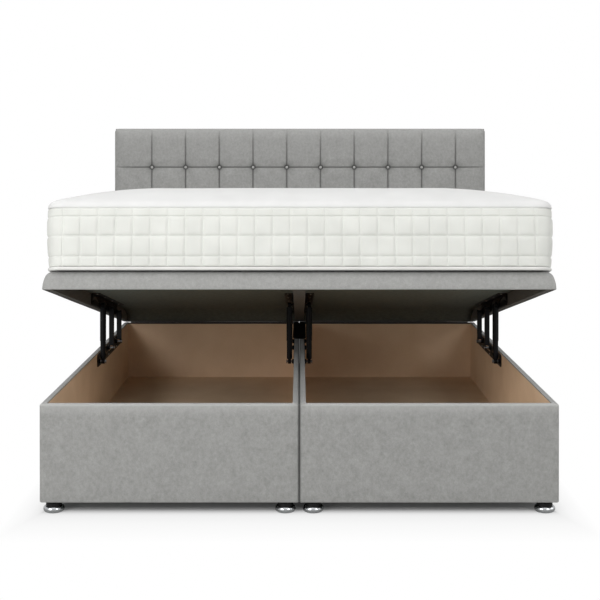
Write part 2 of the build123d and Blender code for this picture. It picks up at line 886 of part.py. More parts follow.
def seam_profile():
    """Section of a sewn seam: two steep flanks and two shallow shoulders."""
    return Polygon(
        (seam_run, -overrun),
        (seam_run, 0),
        (seam_shoulder, seam_shoulder_depth),
        (0, seam_depth),
        (-seam_shoulder, seam_shoulder_depth),
        (-seam_run, 0),
        (-seam_run, -overrun),
        align=None,
    )


def headboard_pad():
    """Padding drawn in along its seams and into a well behind each button."""
    x_range = (-headboard_half, headboard_half)
    pad = block(x_range, (pad_front, board_front), (headboard_bottom, headboard_top))
    pad = fillet(pad.edges().filter_by(Axis.Y), pad_corner_radius)
    front = pad.faces().sort_by(Axis.Y)[0].edges()
    pad = fillet(front, pad_edge_radius)
    upright_plane = Plane(
        origin=(0, pad_front, headboard_bottom - overrun), x_dir=(1, 0, 0), z_dir=(0, 0, 1)
    )
    upright = extrude(upright_plane * seam_profile(), headboard_top - headboard_bottom + 2 * overrun)
    for x in button_xs():
        pad -= Pos(x, 0, 0) * upright
    level_plane = Plane(
        origin=(headboard_half + overrun, pad_front, 0), x_dir=(0, 0, 1), z_dir=(-1, 0, 0)
    )
    level = extrude(level_plane * seam_profile(), headboard_width + 2 * overrun)
    for z in button_zs():
        pad -= Pos(0, 0, z) * level
    well = Cylinder(button_radius + button_well_clearance, 2 * seam_depth)
    for x in button_xs():
        for z in button_zs():
            pad -= Pos(x, pad_front, z) * Rot(90, 0, 0) * well
    return pad


def button():
    """Covered button, domed towards the front, standing on the bottom of its well."""
    back = pad_front + seam_depth
    rim = back - button_height + button_dome
    disc = Cylinder(button_radius, back - rim)
    dome_height = button_dome
    dome = Cone(button_radius, button_radius / 2, dome_height)
    disc = Pos(0, (back + rim) / 2, 0) * Rot(90, 0, 0) * disc
    return disc + Pos(0, rim - dome_height / 2, 0) * Rot(90, 0, 0) * dome


def headboard_buttons():
    """All the covered buttons."""
    shape = button()
    return [Pos(x, 0, z) * shape for x in button_xs() for z in button_zs()]


def headboard_board():
    """Backing board behind the pad."""
    half = headboard_half - board_inset
    z_range = (headboard_bottom + board_inset, headboard_top - board_inset)
    return block((-half, half), (board_front, board_back), z_range)


timber_x_range = (
    strut_timber_place - strut_timber_width / 2,
    strut_timber_place + strut_timber_width / 2,
)


def strut_timbers():
    """Timber struts behind the board, down to the base."""
    z_range = (strut_timber_bottom, strut_timber_top)
    return both_sides(block(timber_x_range, (board_back, timber_back), z_range))


def packers():
    """Blocks that hold the struts off the base."""
    parts = []
    for low in packer_heights:
        z_range = (low, low + packer_height)
        parts += both_sides(block(timber_x_range, (head_face, board_back), z_range))
    return parts


def headboard_bolts():
    """Hexagon heads on washers, one at each packer and two into the board."""
    board_levels = [headboard_bottom + packer_height, strut_timber_top - packer_height]
    levels = [low + packer_height / 2 for low in packer_heights] + board_levels
    washer = Rot(90, 0, 0) * Cylinder(washer_radius, washer_thickness)
    head = Rot(90, 0, 0) * extrude(RegularPolygon(bolt_head_radius, 6), bolt_head_thickness / 2, both=True)
    bolt = Pos(0, timber_back + washer_thickness / 2, 0) * washer
    bolt += Pos(0, timber_back + washer_thickness + bolt_head_thickness / 2, 0) * head
    parts = []
    for z in levels:
        parts += both_sides(Pos(strut_timber_place, 0, z) * bolt)
    return parts


# Every piece by the name of its file

def base_pieces():
    """Pieces of the standing base."""
    right = {
        "outer_side_panel": side_panel(outer_wall_face),
        "inner_side_panel": side_panel(half_inner_edge + cover_thickness),
        "foot_panel": end_panel(foot_face + cover_thickness),
        "head_panel": end_panel(head_wall_face),
        "floor_board": floor_board(),
        "base_cover": base_cover(),
        "dust_cover": dust_cover(),
        "floor_bearers": bearers(),
    }
    pieces = {}
    for name, shape in right.items():
        group = shape if isinstance(shape, list) else [shape]
        pieces["right_" + name] = group
        pieces["left_" + name] = [mirror(solid, about=Plane.YZ) for solid in group]
    pieces["glide_bowls"] = glide_set(glide_bowl())
    pieces["glide_sockets"] = glide_set(glide_socket())
    pieces["link_plates"] = link_plates()
    pieces["base_hinge_leaves"] = at_hinges(base_hinge_leaf())
    pieces["hinge_pins"] = at_hinges(hinge_pin())
    return pieces


def mechanism_pieces():
    """Pieces of the four lifting mechanisms."""
    pieces = {place + "_base_plate": [part] for place, part in four_times(base_plate()).items()}
    for place, part in four_times(bracket()).items():
        pieces[place + "_lid_bracket"] = [opened(part)]
    pieces["bridge_plate"] = [bridge_plate()]
    pieces["pivot_pins"] = []
    for pin in pivot_pins():
        pieces["pivot_pins"] += four_times(pin).values()
    arm_end = bar_x_range[1]
    eye_end = bar_offset + strut_eye_width / 2
    repeated = {
        "strut_cylinders": strut_cylinder(),
        "strut_rods": strut_rod(),
        "strut_top_pins": top_pin(strut_pivot, strut_length, eye_end),
        "middle_arms": arm(middle_arm_pivot, middle_arm_length),
        "middle_arm_pins": top_pin(middle_arm_pivot, middle_arm_length, arm_end),
        "rear_arms": arm(rear_arm_pivot, rear_arm_length),
        "rear_arm_pins": top_pin(rear_arm_pivot, rear_arm_length, arm_end),
    }
    for name, shape in repeated.items():
        pieces[name] = list(four_times(shape).values())
    return pieces


def lid_pieces():
    """Pieces that lift with the lid."""
    envelope = lid_envelope()
    rear_rail_y = frame_y_range[1] - rail_thickness
    closed = {
        "right_lid_side_rail": [side_rail(envelope)],
        "lid_front_rail": [end_rail(frame_y_range[0], envelope)],
        "lid_rear_rail": [end_rail(rear_rail_y, envelope)],
        "lid_centre_rail": [centre_rail()],
        "right_platform_board": [platform(envelope)],
        "lid_lining": [lining()],
        "lid_cover": [lid_cover(envelope)],
        "lid_hinge_leaves": at_hinges(lid_hinge_leaf()),
        "mattress_core": [mattress_core()],
        "mattress_border": [mattress_border()],
        "mattress_top": [mattress_top()],
        "mattress_piping": mattress_piping(),
    }
    closed["left_lid_side_rail"] = [mirror(closed["right_lid_side_rail"][0], about=Plane.YZ)]
    closed["left_platform_board"] = [mirror(closed["right_platform_board"][0], about=Plane.YZ)]
    return {name: [opened(part) for part in parts] for name, parts in closed.items()}


def headboard_pieces():
    """Pieces of the headboard, which stands on the base."""
    return {
        "headboard_pad": [headboard_pad()],
        "headboard_board": [headboard_board()],
        "headboard_buttons": headboard_buttons(),
        "headboard_struts": strut_timbers(),
        "headboard_packers": packers(),
        "headboard_bolts": headboard_bolts(),
    }


def write_piece(name, parts):
    """Write one piece, or one group of like pieces, to its own file."""
    solids = [solid for part in parts for solid in part.solids()]
    shape = solids[0] if len(solids) == 1 else Compound(children=solids)
    shape.label = name
    export_step(shape, "parts/" + name + ".step")


def write_all():
    """Write every piece."""
    os.makedirs("parts", exist_ok=True)
    groups = (base_pieces(), mechanism_pieces(), lid_pieces(), headboard_pieces())
    for group in groups:
        for name, parts in group.items():
            write_piece(name, parts)


write_all()
strut_ratio = closed_swing(strut_pivot, strut_closed_length) / lid_angle
middle_ratio = closed_swing(middle_arm_pivot, middle_arm_length) / lid_angle
rear_ratio = closed_swing(rear_arm_pivot, rear_arm_length) / lid_angle
slide_ratio = (strut_length - strut_closed_length) / lid_angle
places = [(foot_face + station, pivot_z) for station, pivot_z in pivots]
print("hinge", hinge_y, hinge_z, "pivots", places)
print("swings of the closed bars", [degrees(lid_angle * r) for r in (strut_ratio, middle_ratio, rear_ratio)])
print("turns of each bar for one of the lid", strut_ratio, middle_ratio, rear_ratio)
print("slide of the strut for one radian of the lid", slide_ratio)
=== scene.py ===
"""Ottoman bed with its lid held open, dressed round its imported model."""

from __future__ import annotations

import json
import logging
import math
from collections.abc import Callable, Iterable
from dataclasses import dataclass
from enum import Enum

import bmesh
import bpy
from mathutils import Matrix, Vector, noise

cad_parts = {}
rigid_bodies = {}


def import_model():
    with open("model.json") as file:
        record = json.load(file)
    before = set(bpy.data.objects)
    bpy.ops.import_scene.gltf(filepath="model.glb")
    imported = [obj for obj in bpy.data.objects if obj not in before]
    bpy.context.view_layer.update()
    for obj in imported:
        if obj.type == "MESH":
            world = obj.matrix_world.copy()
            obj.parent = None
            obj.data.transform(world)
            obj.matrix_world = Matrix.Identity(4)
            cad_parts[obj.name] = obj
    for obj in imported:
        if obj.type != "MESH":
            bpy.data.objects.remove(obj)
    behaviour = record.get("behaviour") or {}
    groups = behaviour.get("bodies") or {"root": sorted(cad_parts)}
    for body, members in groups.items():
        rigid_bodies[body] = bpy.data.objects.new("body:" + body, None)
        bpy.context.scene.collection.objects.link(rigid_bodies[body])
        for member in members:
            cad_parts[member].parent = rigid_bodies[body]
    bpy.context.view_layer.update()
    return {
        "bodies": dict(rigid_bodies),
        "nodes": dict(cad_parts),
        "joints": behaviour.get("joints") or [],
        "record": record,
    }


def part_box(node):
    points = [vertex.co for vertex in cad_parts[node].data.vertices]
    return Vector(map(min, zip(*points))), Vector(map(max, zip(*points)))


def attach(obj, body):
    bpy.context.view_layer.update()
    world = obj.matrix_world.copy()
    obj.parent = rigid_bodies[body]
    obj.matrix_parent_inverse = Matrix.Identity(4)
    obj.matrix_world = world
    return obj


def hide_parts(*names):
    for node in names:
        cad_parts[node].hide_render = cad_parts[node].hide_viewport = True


log = logging.getLogger("ottoman_bed")

# A node with the name or number of one of its outputs.
Output = tuple[bpy.types.Node, str | int]

MM = 0.001
# Points nearer to each other than this are one point.
SAME = 0.01 * MM
QUARTER = math.pi / 2
# Bands that a wave texture of scale one has in a unit, as used for the knit.
WAVE_BANDS = 3.2

# The lid's hinge axis and how far it stands open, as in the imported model.
HINGE_Y = 952.5 * MM
HINGE_Z = 389.75 * MM
LID_ANGLE = math.radians(11.3)
FOOT_FACE = -1084.0 * MM
HEAD_FACE = 946.0 * MM
LID_BOTTOM = 390.5 * MM
LID_TOP = 458.5 * MM


class Body(Enum):
    """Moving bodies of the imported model."""

    BASE = "base"
    LID = "lid"


class Side(Enum):
    """Halves of the base, with the sign of their X."""

    LEFT = -1
    RIGHT = 1

    @property
    def word(self) -> str:
        """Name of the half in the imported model."""
        return self.name.lower()


# Materials


def linear(code: str) -> tuple[float, float, float, float]:
    """Turns an sRGB hex colour to linear light.

    Args:
        code: Six hex digits.

    Returns:
        Red, green, blue and an alpha of one.
    """
    shares = [int(code[start : start + 2], 16) / 255 for start in (0, 2, 4)]
    red, green, blue = (
        share / 12.92 if share <= 0.04045 else ((share + 0.055) / 1.055) ** 2.4
        for share in shares
    )
    return (red, green, blue, 1.0)


def add_node(
    tree: bpy.types.NodeTree,
    kind: str,
    sockets: dict | None = None,
    links: dict[str | int, Output] | None = None,
    **settings: object,
) -> bpy.types.Node:
    """Adds a node with its settings and links.

    Args:
        tree: Node tree that gets the node.
        kind: Node type.
        sockets: Values of its inputs, by name or number.
        links: Output that feeds each input.
        settings: Properties of the node itself.

    Returns:
        The new node.
    """
    node = tree.nodes.new(kind)
    for name, value in settings.items():
        setattr(node, name, value)
    for key, value in (sockets or {}).items():
        node.inputs[key].default_value = value
    for key, (source, output) in (links or {}).items():
        tree.links.new(source.outputs[output], node.inputs[key])
    return node


def calculate(tree: bpy.types.NodeTree, operation: str, *terms: float | Output) -> Output:
    """Works out a value from numbers and the outputs of other nodes.

    Args:
        tree: Node tree that gets the node.
        operation: What is done with the terms.
        terms: Numbers and outputs, in their order.

    Returns:
        The result.
    """
    fixed = {index: term for index, term in enumerate(terms) if not isinstance(term, tuple)}
    linked = {index: term for index, term in enumerate(terms) if isinstance(term, tuple)}
    return add_node(tree, "ShaderNodeMath", fixed, linked, operation=operation), 0


def empty_tree(owner: bpy.types.Material | bpy.types.World) -> bpy.types.NodeTree:
    """Turns on the nodes of a material or a world, and clears them."""
    owner.use_nodes = True
    owner.node_tree.nodes.clear()
    return owner.node_tree


def grain_of(size: float) -> float:
    """Noise scale whose blotches are this many millimetres wide."""
    return 1 / (size * MM)


@dataclass(frozen=True)
class Canvas:
    """Node tree of a material that is being built, with its shader and its coordinates."""

    tree: bpy.types.NodeTree
    shader: bpy.types.Node
    place: bpy.types.Node

    def stretched(self, scale: tuple[float, float, float]) -> Output:
        """Object coordinates, scaled along each axis."""
        links = {"Vector": (self.place, "Object")}
        return add_node(self.tree, "ShaderNodeMapping", {"Scale": scale}, links), "Vector"

    def noise(
        self,
        spot: Output,
        size: float,
        detail: float = 2.0,
        roughness: float = 0.5,
        distortion: float = 0.0,
    ) -> Output:
        """Blotches of a real size.

        Args:
            spot: Coordinates in metres.
            size: Width of a blotch in millimetres.
            detail: How many finer layers there are.
            roughness: How strong the finer layers are.
            distortion: How far the blotches are bent.

        Returns:
            Their pattern, from 0 to 1.
        """
        values = {"Scale": grain_of(size), "Detail": detail, "Roughness": roughness}
        values["Distortion"] = distortion
        return add_node(self.tree, "ShaderNodeTexNoise", values, {"Vector": spot}), "Fac"

    def blend(self, share: float, first: Output, second: Output) -> Output:
        """Mixes two patterns, with a share of the second."""
        links = {2: first, 3: second}
        return add_node(self.tree, "ShaderNodeMix", {0: share}, links, data_type="FLOAT"), 0

    def tint(self, factor: Output, low: str, high: str) -> Output:
        """Colour that runs from low to high as a pattern goes from dark to light.

        Args:
            factor: The pattern.
            low: Hex colour where the pattern is dark.
            high: Hex colour where the pattern is light.

        Returns:
            The colour.
        """
        ramp = add_node(self.tree, "ShaderNodeValToRGB", links={"Fac": factor})
        for element, position, code in zip(ramp.color_ramp.elements, (0.3, 0.7), (low, high)):
            element.position = position
            element.color = linear(code)
        return ramp, "Color"

    def overlay(self, colour: Output, attribute: str, code: str) -> Output:
        """Colour that turns to another one where the mesh says so.

        Args:
            colour: Colour where the attribute is 0.
            attribute: Name of the mesh's attribute.
            code: Hex colour where the attribute is 1.

        Returns:
            The colour.
        """
        level = add_node(self.tree, "ShaderNodeAttribute", attribute_name=attribute)
        links = {0: (level, "Fac"), 6: colour}
        return add_node(self.tree, "ShaderNodeMix", {7: linear(code)}, links, data_type="RGBA"), 2

    def paint(self, source: Output, target: str = "Base Color") -> None:
        """Feeds an output to the shader."""
        self.tree.links.new(source[0].outputs[source[1]], self.shader.inputs[target])

    def emboss(self, *layers: tuple[Output, float, float]) -> None:
        """Raises the surface by patterns, one over another.

        Args:
            layers: Each pattern with its strength and its depth in millimetres.
        """
        below = {}
        for height, strength, depth in layers:
            values = {"Strength": strength, "Distance": depth * MM}
            bump = add_node(self.tree, "ShaderNodeBump", values, {"Height": height, **below})
            below = {"Normal": (bump, "Normal")}
        self.paint(below["Normal"], "Normal")


@dataclass(frozen=True)
class Finish:
    """What a surface is made of, with the values that are the same all over it."""

    name: str
    colour: str
    roughness: float = 0.8
    metallic: float = 0.0
    sheen: float = 0.0
    specular: float = 0.5

    def material(self) -> bpy.types.Material:
        """Builds the material, or finds it when it is there already.

        Returns:
            The finish as a Blender material.
        """
        found = bpy.data.materials.get(self.name)
        if found is not None:
            return found
        made = bpy.data.materials.new(self.name)
        made.diffuse_color = linear(self.colour)
        tree = empty_tree(made)
        values = {
            "Base Color": linear(self.colour),
            "Roughness": self.roughness,
            "Metallic": self.metallic,
            "Sheen Weight": self.sheen,
            "Sheen Roughness": 0.5,
            "Specular IOR Level": self.specular,
        }
        shader = add_node(tree, "ShaderNodeBsdfPrincipled", values)
        add_node(tree, "ShaderNodeOutputMaterial", links={"Surface": (shader, "BSDF")})
        self.pattern(Canvas(tree, shader, add_node(tree, "ShaderNodeTexCoord")))
        return made

    def pattern(self, canvas: Canvas) -> None:
        """Adds what varies over the surface. A plain finish has nothing."""


@dataclass(frozen=True)
class PlushFabric(Finish):
    """Short pile upholstery: marled yarn, a nap that lies unevenly, a soft sheen."""

    dark: str = "7A7A78"
    light: str = "969694"
    shade: str = "353533"
    # Painted highlight: a lighter colour laid on where the mesh says.
    brushed: str = "A4A4A2"
    marl: float = 12.0
    nap: float = 42.0
    pile: float = 3.0
    nap_share: float = 0.3
    pile_share: float = 0.25

    def pattern(self, canvas: Canvas) -> None:
        """Mottles the colour, lays painted shade on the creases and a painted highlight where the mesh
        says.
        """
        spot = canvas.stretched((1.0, 1.0, 0.85))
        marl = canvas.noise(spot, self.marl, 3.0, 0.65)
        nap = canvas.noise(spot, self.nap)
        pile = canvas.noise(spot, self.pile, 2.0, 0.7)
        mottle = canvas.blend(self.pile_share, canvas.blend(self.nap_share, marl, nap), pile)
        colour = canvas.tint(mottle, self.dark, self.light)
        # Painted shade where the mesh says, then the painted highlight.
        colour = canvas.overlay(colour, "crease", self.shade)
        canvas.paint(canvas.overlay(colour, "painted_highlight", self.brushed))
        canvas.emboss((marl, 0.35, 1.2), (pile, 0.5, 0.5))


@dataclass(frozen=True)
class KnitFabric(Finish):
    """Stretch knit of a mattress: rows of small loops, matt and very pale."""

    shade: str = "DCDDD8"
    loop: float = 3.2
    cloud: float = 90.0
    on_object: bool = False

    def pattern(self, canvas: Canvas) -> None:
        """Draws the loops. They are 3 mm here, as coarse as they need to show."""
        links = {"Vector": (canvas.place, "Object" if self.on_object else "UV")}
        values = {"Scale": grain_of(self.loop) / WAVE_BANDS, "Distortion": 1.2}
        values.update({"Detail": 1.0, "Detail Scale": 1.5})
        rows = [
            add_node(canvas.tree, "ShaderNodeTexWave", values, links, bands_direction=axis)
            for axis in ("X", "Y")
        ]
        loops = calculate(canvas.tree, "MULTIPLY", *((row, "Fac") for row in rows))
        cloud = canvas.noise((canvas.place, "Object"), self.cloud, 1.0)
        canvas.paint(canvas.tint(cloud, self.shade, self.colour))
        canvas.emboss((loops, 0.25, 0.5))


@dataclass(frozen=True)
class PressedBoard(Finish):
    """Wood fibre board: even and dull, with flecks of fibre and faint clouding."""

    dark: str = "9F7D60"
    fleck: float = 5.0
    cloud: float = 140.0
    fleck_share: float = 0.45

    def pattern(self, canvas: Canvas) -> None:
        """Clouds the colour, adds flecks and roughens the face."""
        spot = (canvas.place, "Object")
        flecks = canvas.noise(spot, self.fleck, 5.0, 0.7)
        clouds = canvas.noise(spot, self.cloud)
        mottle = canvas.blend(self.fleck_share, clouds, flecks)
        canvas.paint(canvas.tint(mottle, self.dark, self.colour))
        canvas.emboss((flecks, 0.15, 0.4))


@dataclass(frozen=True)
class SawnTimber(Finish):
    """Planed softwood: growth rings cut lengthwise into long wavy bands."""

    dark: str = "8F6A42"
    ring: float = 9.0
    along: str = "X"
    squeeze: float = 0.06

    def pattern(self, canvas: Canvas) -> None:
        """Draws the growth rings along the piece and a little of its pores."""
        scale = tuple(self.squeeze if axis == self.along else 1.0 for axis in "XYZ")
        rings = canvas.noise(canvas.stretched(scale), self.ring, 4.0, distortion=0.6)
        canvas.paint(canvas.tint(rings, self.dark, self.colour))
        canvas.emboss((rings, 0.2, 0.4))


@dataclass(frozen=True)
class SpunCloth(Finish):
    """Non-woven lining: pressed fibres with a grid of small bond dimples."""

    light: str = "2E2D2A"
    shade: str = "121211"
    dimple: float = 5.0
    fibre: float = 16.0

    def pattern(self, canvas: Canvas) -> None:
        """Presses the dimples, lightens stray fibres and shades where no light gets in."""
        spot = (canvas.place, "Object")
        values = {"Scale": grain_of(self.dimple), "Randomness": 0.25}
        dimples = add_node(canvas.tree, "ShaderNodeTexVoronoi", values, {"Vector": spot})
        colour = canvas.tint(canvas.noise(spot, self.fibre, 5.0), self.colour, self.light)
        canvas.paint(canvas.overlay(colour, "crease", self.shade))
        canvas.emboss(((dimples, "Distance"), 0.3, 0.5))


@dataclass(frozen=True)
class HardSurface(Finish):
    """Metal, paint or plastic: an even skin with the fine texture of its making."""

    worn: str = ""
    texture: float = 1.5
    depth: float = 0.1
    patch: float = 25.0
    brushed: bool = False
    spread: float = 0.08

    def pattern(self, canvas: Canvas) -> None:
        """Varies the gloss and the surface, brushed along X where it was drawn."""
        spot = canvas.stretched((0.05 if self.brushed else 1.0, 1.0, 1.0))
        skin = canvas.noise(spot, self.texture, 3.0)
        patches = canvas.noise((canvas.place, "Object"), self.patch, 4.0)
        ends = {
            "To Min": max(0.02, self.roughness - self.spread),
            "To Max": self.roughness + self.spread,
        }
        gloss = add_node(canvas.tree, "ShaderNodeMapRange", ends, {"Value": patches})
        canvas.paint((gloss, "Result"), "Roughness")
        canvas.paint(canvas.tint(patches, self.worn or self.colour, self.colour))
        canvas.emboss((skin, 0.3, self.depth))


# Grey chenille of the base, lid and headboard: soft, mottled, no visible weave.
PLUSH = PlushFabric("Grey plush chenille", "888886", 0.9, sheen=0.25)
# The same cloth over a button, painted lighter: a painted highlight on the button's dome.
BUTTON_PLUSH_PAINTED_HIGHLIGHT = PlushFabric(
    "Chenille stretched over a button", "9C9C9A", 0.8, sheen=0.3, dark="929290", light="A8A8A5"
)
# Quilted border of the mattress: slightly warm white knit.
BORDER_KNIT = KnitFabric("White quilted border knit", "D0D1CC", 0.85, sheen=0.1, shade="C8C9C4")
# Sleeping surface: a whiter, smoother knit.
TOP_KNIT = KnitFabric(
    "White sleeping surface knit", "D1D1D0", 0.85, sheen=0.1, shade="CCCCCB", on_object=True
)
# Tape that covers the seams of the mattress: plain white ribbon.
SEAM_TAPE = KnitFabric("White seam tape", "CFCFCC", 0.75, sheen=0.1, shade="C6C6C3", on_object=True)
# Inside of the base: brown fibre board, dull and even.
BOARD = PressedBoard("Brown fibre board", "ECCFB0", 0.75, dark="DCBD9B")
# Back of the headboard: raw chipboard with larger flecks.
CHIPBOARD = PressedBoard("Raw chipboard", "CBAA80", 0.85, dark="B7946A", fleck=9.0)
# Bearers under the floor: planed pine, pale and banded.
PINE = SawnTimber("Planed pine", "C79F6B", 0.7)
# Struts of the headboard: the same pine, standing upright.
PINE_UPRIGHT = SawnTimber("Planed pine upright", "CDA875", 0.7, dark="A98558", along="Z")
# Rails of the lid: pine under dark grey stain, so that little shows under the lid.
STAINED_PINE = SawnTimber("Grey stained pine", "5C5B56", 0.75, dark="4E4D49", along="Y")
# Lining under the platform and dust covers: matt dark grey non-woven cloth.
LINING = SpunCloth("Dark grey non-woven lining", "575F5C", 0.95, light="6A756F")
# Glides: bright chromium plate, whose reflections are a little blurred.
CHROME = HardSurface("Chromium plate", "ABADAF", 0.2, 1.0, texture=30.0, depth=0.02, spread=0.04)
# Sockets of the glides: moulded black nylon, slightly shiny.
NYLON = HardSurface("Moulded black nylon", "0C0C0C", 0.45, specular=0.2, texture=2.0, depth=0.05)
# Link plates, screws and bolts: bright zinc plate over rolled steel.
ZINC = HardSurface("Zinc plated steel", "B9BBBD", 0.34, 1.0, worn="9EA1A3", brushed=True)
# Arms, plates, hinges and gas cylinders: black powder coat with a fine orange peel.
POWDER = HardSurface("Black powder coat", "08080A", 0.5, specular=0.12, texture=2.2, depth=0.12)
# Heads of the pivot pins: turned steel, darkened and oiled.
PIN_STEEL = HardSurface("Blackened pin steel", "6E6F71", 0.3, 1.0, texture=8.0, depth=0.02)


# Meshes


def lid_opening() -> Matrix:
    """Turn that takes a piece of the closed lid to where it stands open."""
    hinge = Vector((0, HINGE_Y, HINGE_Z))
    turn = Matrix.Rotation(-LID_ANGLE, 4, "X")
    return Matrix.Translation(hinge) @ turn @ Matrix.Translation(-hinge)


def mesh_of(name: str, shape: bmesh.types.BMesh) -> bpy.types.Mesh:
    """Turns a finished shape into a mesh, and frees the shape."""
    mesh = bpy.data.meshes.new(name)
    shape.to_mesh(mesh)
    shape.free()
    return mesh


def add_object(name: str, data: bpy.types.ID) -> bpy.types.Object:
    """Puts a mesh, a lamp or a camera into the scene."""
    made = bpy.data.objects.new(name, data)
    bpy.context.scene.collection.objects.link(made)
    return made


def add_piece(
    name: str,
    shape: bmesh.types.BMesh,
    finish: Finish,
    body: Body,
    replaced: Iterable[str] = (),
    crease: float = 40.0,
    thickness: float = 0.0,
    placing: Matrix | None = None,
) -> bpy.types.Object:
    """Makes an object of a finished shape and hangs it on its body.

    Args:
        name: Name of the piece.
        shape: Its mesh, which is freed.
        finish: What it is made of.
        body: Body that carries it.
        replaced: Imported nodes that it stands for.
        crease: Angle in degrees past which an edge stays sharp.
        thickness: What a skin gets inwards.
        placing: Moves the shape from where it was made to where it stands.

    Returns:
        The new object.
    """
    if placing is not None:
        bmesh.ops.transform(shape, matrix=placing, verts=shape.verts)
    mesh = mesh_of(name, shape)
    mesh.shade_smooth()
    mesh.set_sharp_from_angle(angle=math.radians(crease))
    mesh.materials.append(finish.material())
    made = add_object(name, mesh)
    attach(made, body.value)
    if replaced:
        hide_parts(*replaced)
    if thickness:
        wall = made.modifiers.new("Cloth thickness", "SOLIDIFY")
        wall.thickness = thickness
        wall.offset = -1.0
    log.info("%s: %d faces, rides on %s", name, len(mesh.polygons), body.value)
    return made


def grid(columns: int, rows: int, size: float = 1.0) -> bmesh.types.BMesh:
    """Level grid whose corners lie at plus and minus its size."""
    shape = bmesh.new()
    bmesh.ops.create_grid(shape, x_segments=columns, y_segments=rows, size=size)
    return shape


def push_edges(
    shape: bmesh.types.BMesh, edges: list[bmesh.types.BMEdge]
) -> tuple[list[bmesh.types.BMVert], list[bmesh.types.BMEdge]]:
    """Grows a strip of faces from a rim.

    Args:
        shape: Shape that the rim is on.
        edges: The rim.

    Returns:
        Points and edges of the new rim, still where the old one is.
    """
    made = bmesh.ops.extrude_edge_only(shape, edges=edges)["geom"]
    verts = [item for item in made if isinstance(item, bmesh.types.BMVert)]
    return verts, [item for item in made if isinstance(item, bmesh.types.BMEdge)]


def slice_across(shape: bmesh.types.BMesh, axis: int, pitch: float) -> None:
    """Cuts the faces of a shape at even steps along one axis.

    Args:
        shape: Shape to cut.
        axis: Zero for X, one for Y, two for Z.
        pitch: Largest step between cuts.
    """
    places = [vert.co[axis] for vert in shape.verts]
    low, high = min(places), max(places)
    count = max(1, math.ceil((high - low) / pitch))
    normal = Vector((0, 0, 0))
    normal[axis] = 1.0
    for step in range(1, count):
        point = normal * (low + (high - low) * step / count)
        geometry = shape.verts[:] + shape.edges[:] + shape.faces[:]
        bmesh.ops.bisect_plane(shape, geom=geometry, plane_co=point, plane_no=normal)


def ripple(shape: bmesh.types.BMesh, depth: float, width: float, seed: float) -> None:
    """Moves a skin in and out a little, as cloth that lies over a frame does.

    Args:
        shape: Skin to move.
        depth: Most that a point moves.
        width: Size of one wave.
        seed: Place in the noise, so that pieces differ.
    """
    shape.normal_update()
    offset = Vector((seed, seed * 0.7, -seed))
    for vert in shape.verts:
        level = noise.noise(vert.co / width + offset)
        vert.co += vert.normal * level * depth


def gathered(share: float, strength: float) -> float:
    """Moves a place within a cell nearer to the cell's ends, where the cloth bends most."""
    return share - strength * math.sin(2 * math.pi * share) / (2 * math.pi)


def round_corner(
    x: float, y: float, half_x: float, half_y: float, radius: float
) -> tuple[float, float]:
    """Moves a point of a rectangle's square corner onto its round one.

    Args:
        x: Place across, from the middle.
        y: Place along, from the middle.
        half_x: Half the width of the rectangle.
        half_y: Half its length.
        radius: Radius of its corners.

    Returns:
        The new place, which is the old one away from the corners.
    """
    over_x, over_y = abs(x) - (half_x - radius), abs(y) - (half_y - radius)
    if over_x <= 0 or over_y <= 0:
        return x, y
    new_x = over_x * math.sqrt(1 - (over_y / radius) ** 2 / 2)
    new_y = over_y * math.sqrt(1 - (over_x / radius) ** 2 / 2)
    return math.copysign(half_x - radius + new_x, x), math.copysign(half_y - radius + new_y, y)


@dataclass(frozen=True)
class RoundedOutline:
    """Level rectangle with round corners, walked from the middle of its foot."""

    half_width: float
    half_length: float
    radius: float
    centre_y: float

    @property
    def perimeter(self) -> float:
        """Length of the way round."""
        straight = 4 * (self.half_width + self.half_length - 2 * self.radius)
        return straight + 2 * math.pi * self.radius

    def place(self, distance: float) -> tuple[Vector, Vector]:
        """Finds a point on the way round.

        Args:
            distance: How far along, from the middle of the foot towards +X.

        Returns:
            The point, and the direction that points outwards there.
        """
        flat_x = self.half_width - self.radius
        flat_y = self.half_length - self.radius
        arc = QUARTER * self.radius
        spans = (flat_x, arc, 2 * flat_y, arc, 2 * flat_x, arc, 2 * flat_y, arc, flat_x)
        left = distance % self.perimeter
        index = 0
        while index < len(spans) - 1 and left > spans[index]:
            left -= spans[index]
            index += 1
        corner_x = flat_x if index < 5 else -flat_x
        corner_y = flat_y if 3 <= index <= 6 else -flat_y
        angle = (index // 2 - 1) * QUARTER
        along = 0.0
        if index % 2:
            angle += left / self.radius
        else:
            along = left if index else left - flat_x
        outward = Vector((math.cos(angle), math.sin(angle), 0))
        tangent = Vector((-outward.y, outward.x, 0))
        point = Vector((corner_x, corner_y, 0)) + outward * self.radius + tangent * along
        return point + Vector((0, self.centre_y, 0)), outward


def band_round(
    outline: RoundedOutline,
    columns: int,
    rows: int,
    section: Callable[[float, float], tuple[float, float]],
    gather: Callable[[float], float] = float,
) -> bmesh.types.BMesh:
    """Wraps a grid round an outline.

    Args:
        outline: Way round.
        columns: Faces along the way.
        rows: Faces across the band.
        section: Gives the outward offset and the height from the distance along
            the way and the share across the band.
        gather: Moves the columns along the way.

    Returns:
        Closed band, with a UV map in metres along and across.
    """
    shape = grid(columns, rows)
    chart = shape.loops.layers.uv.new("UVMap")
    for face in shape.faces:
        for loop in face.loops:
            spot = loop.vert.co
            along = gather((spot.x + 1) / 2 * outline.perimeter)
            loop[chart].uv = (along, section(along, (spot.y + 1) / 2)[1])
    for vert in shape.verts:
        along = gather((vert.co.x + 1) / 2 * outline.perimeter)
        point, outward = outline.place(along)
        offset, height = section(along, (vert.co.y + 1) / 2)
        vert.co = point + outward * offset + Vector((0, 0, height))
    bmesh.ops.remove_doubles(shape, verts=shape.verts, dist=SAME)
    return shape


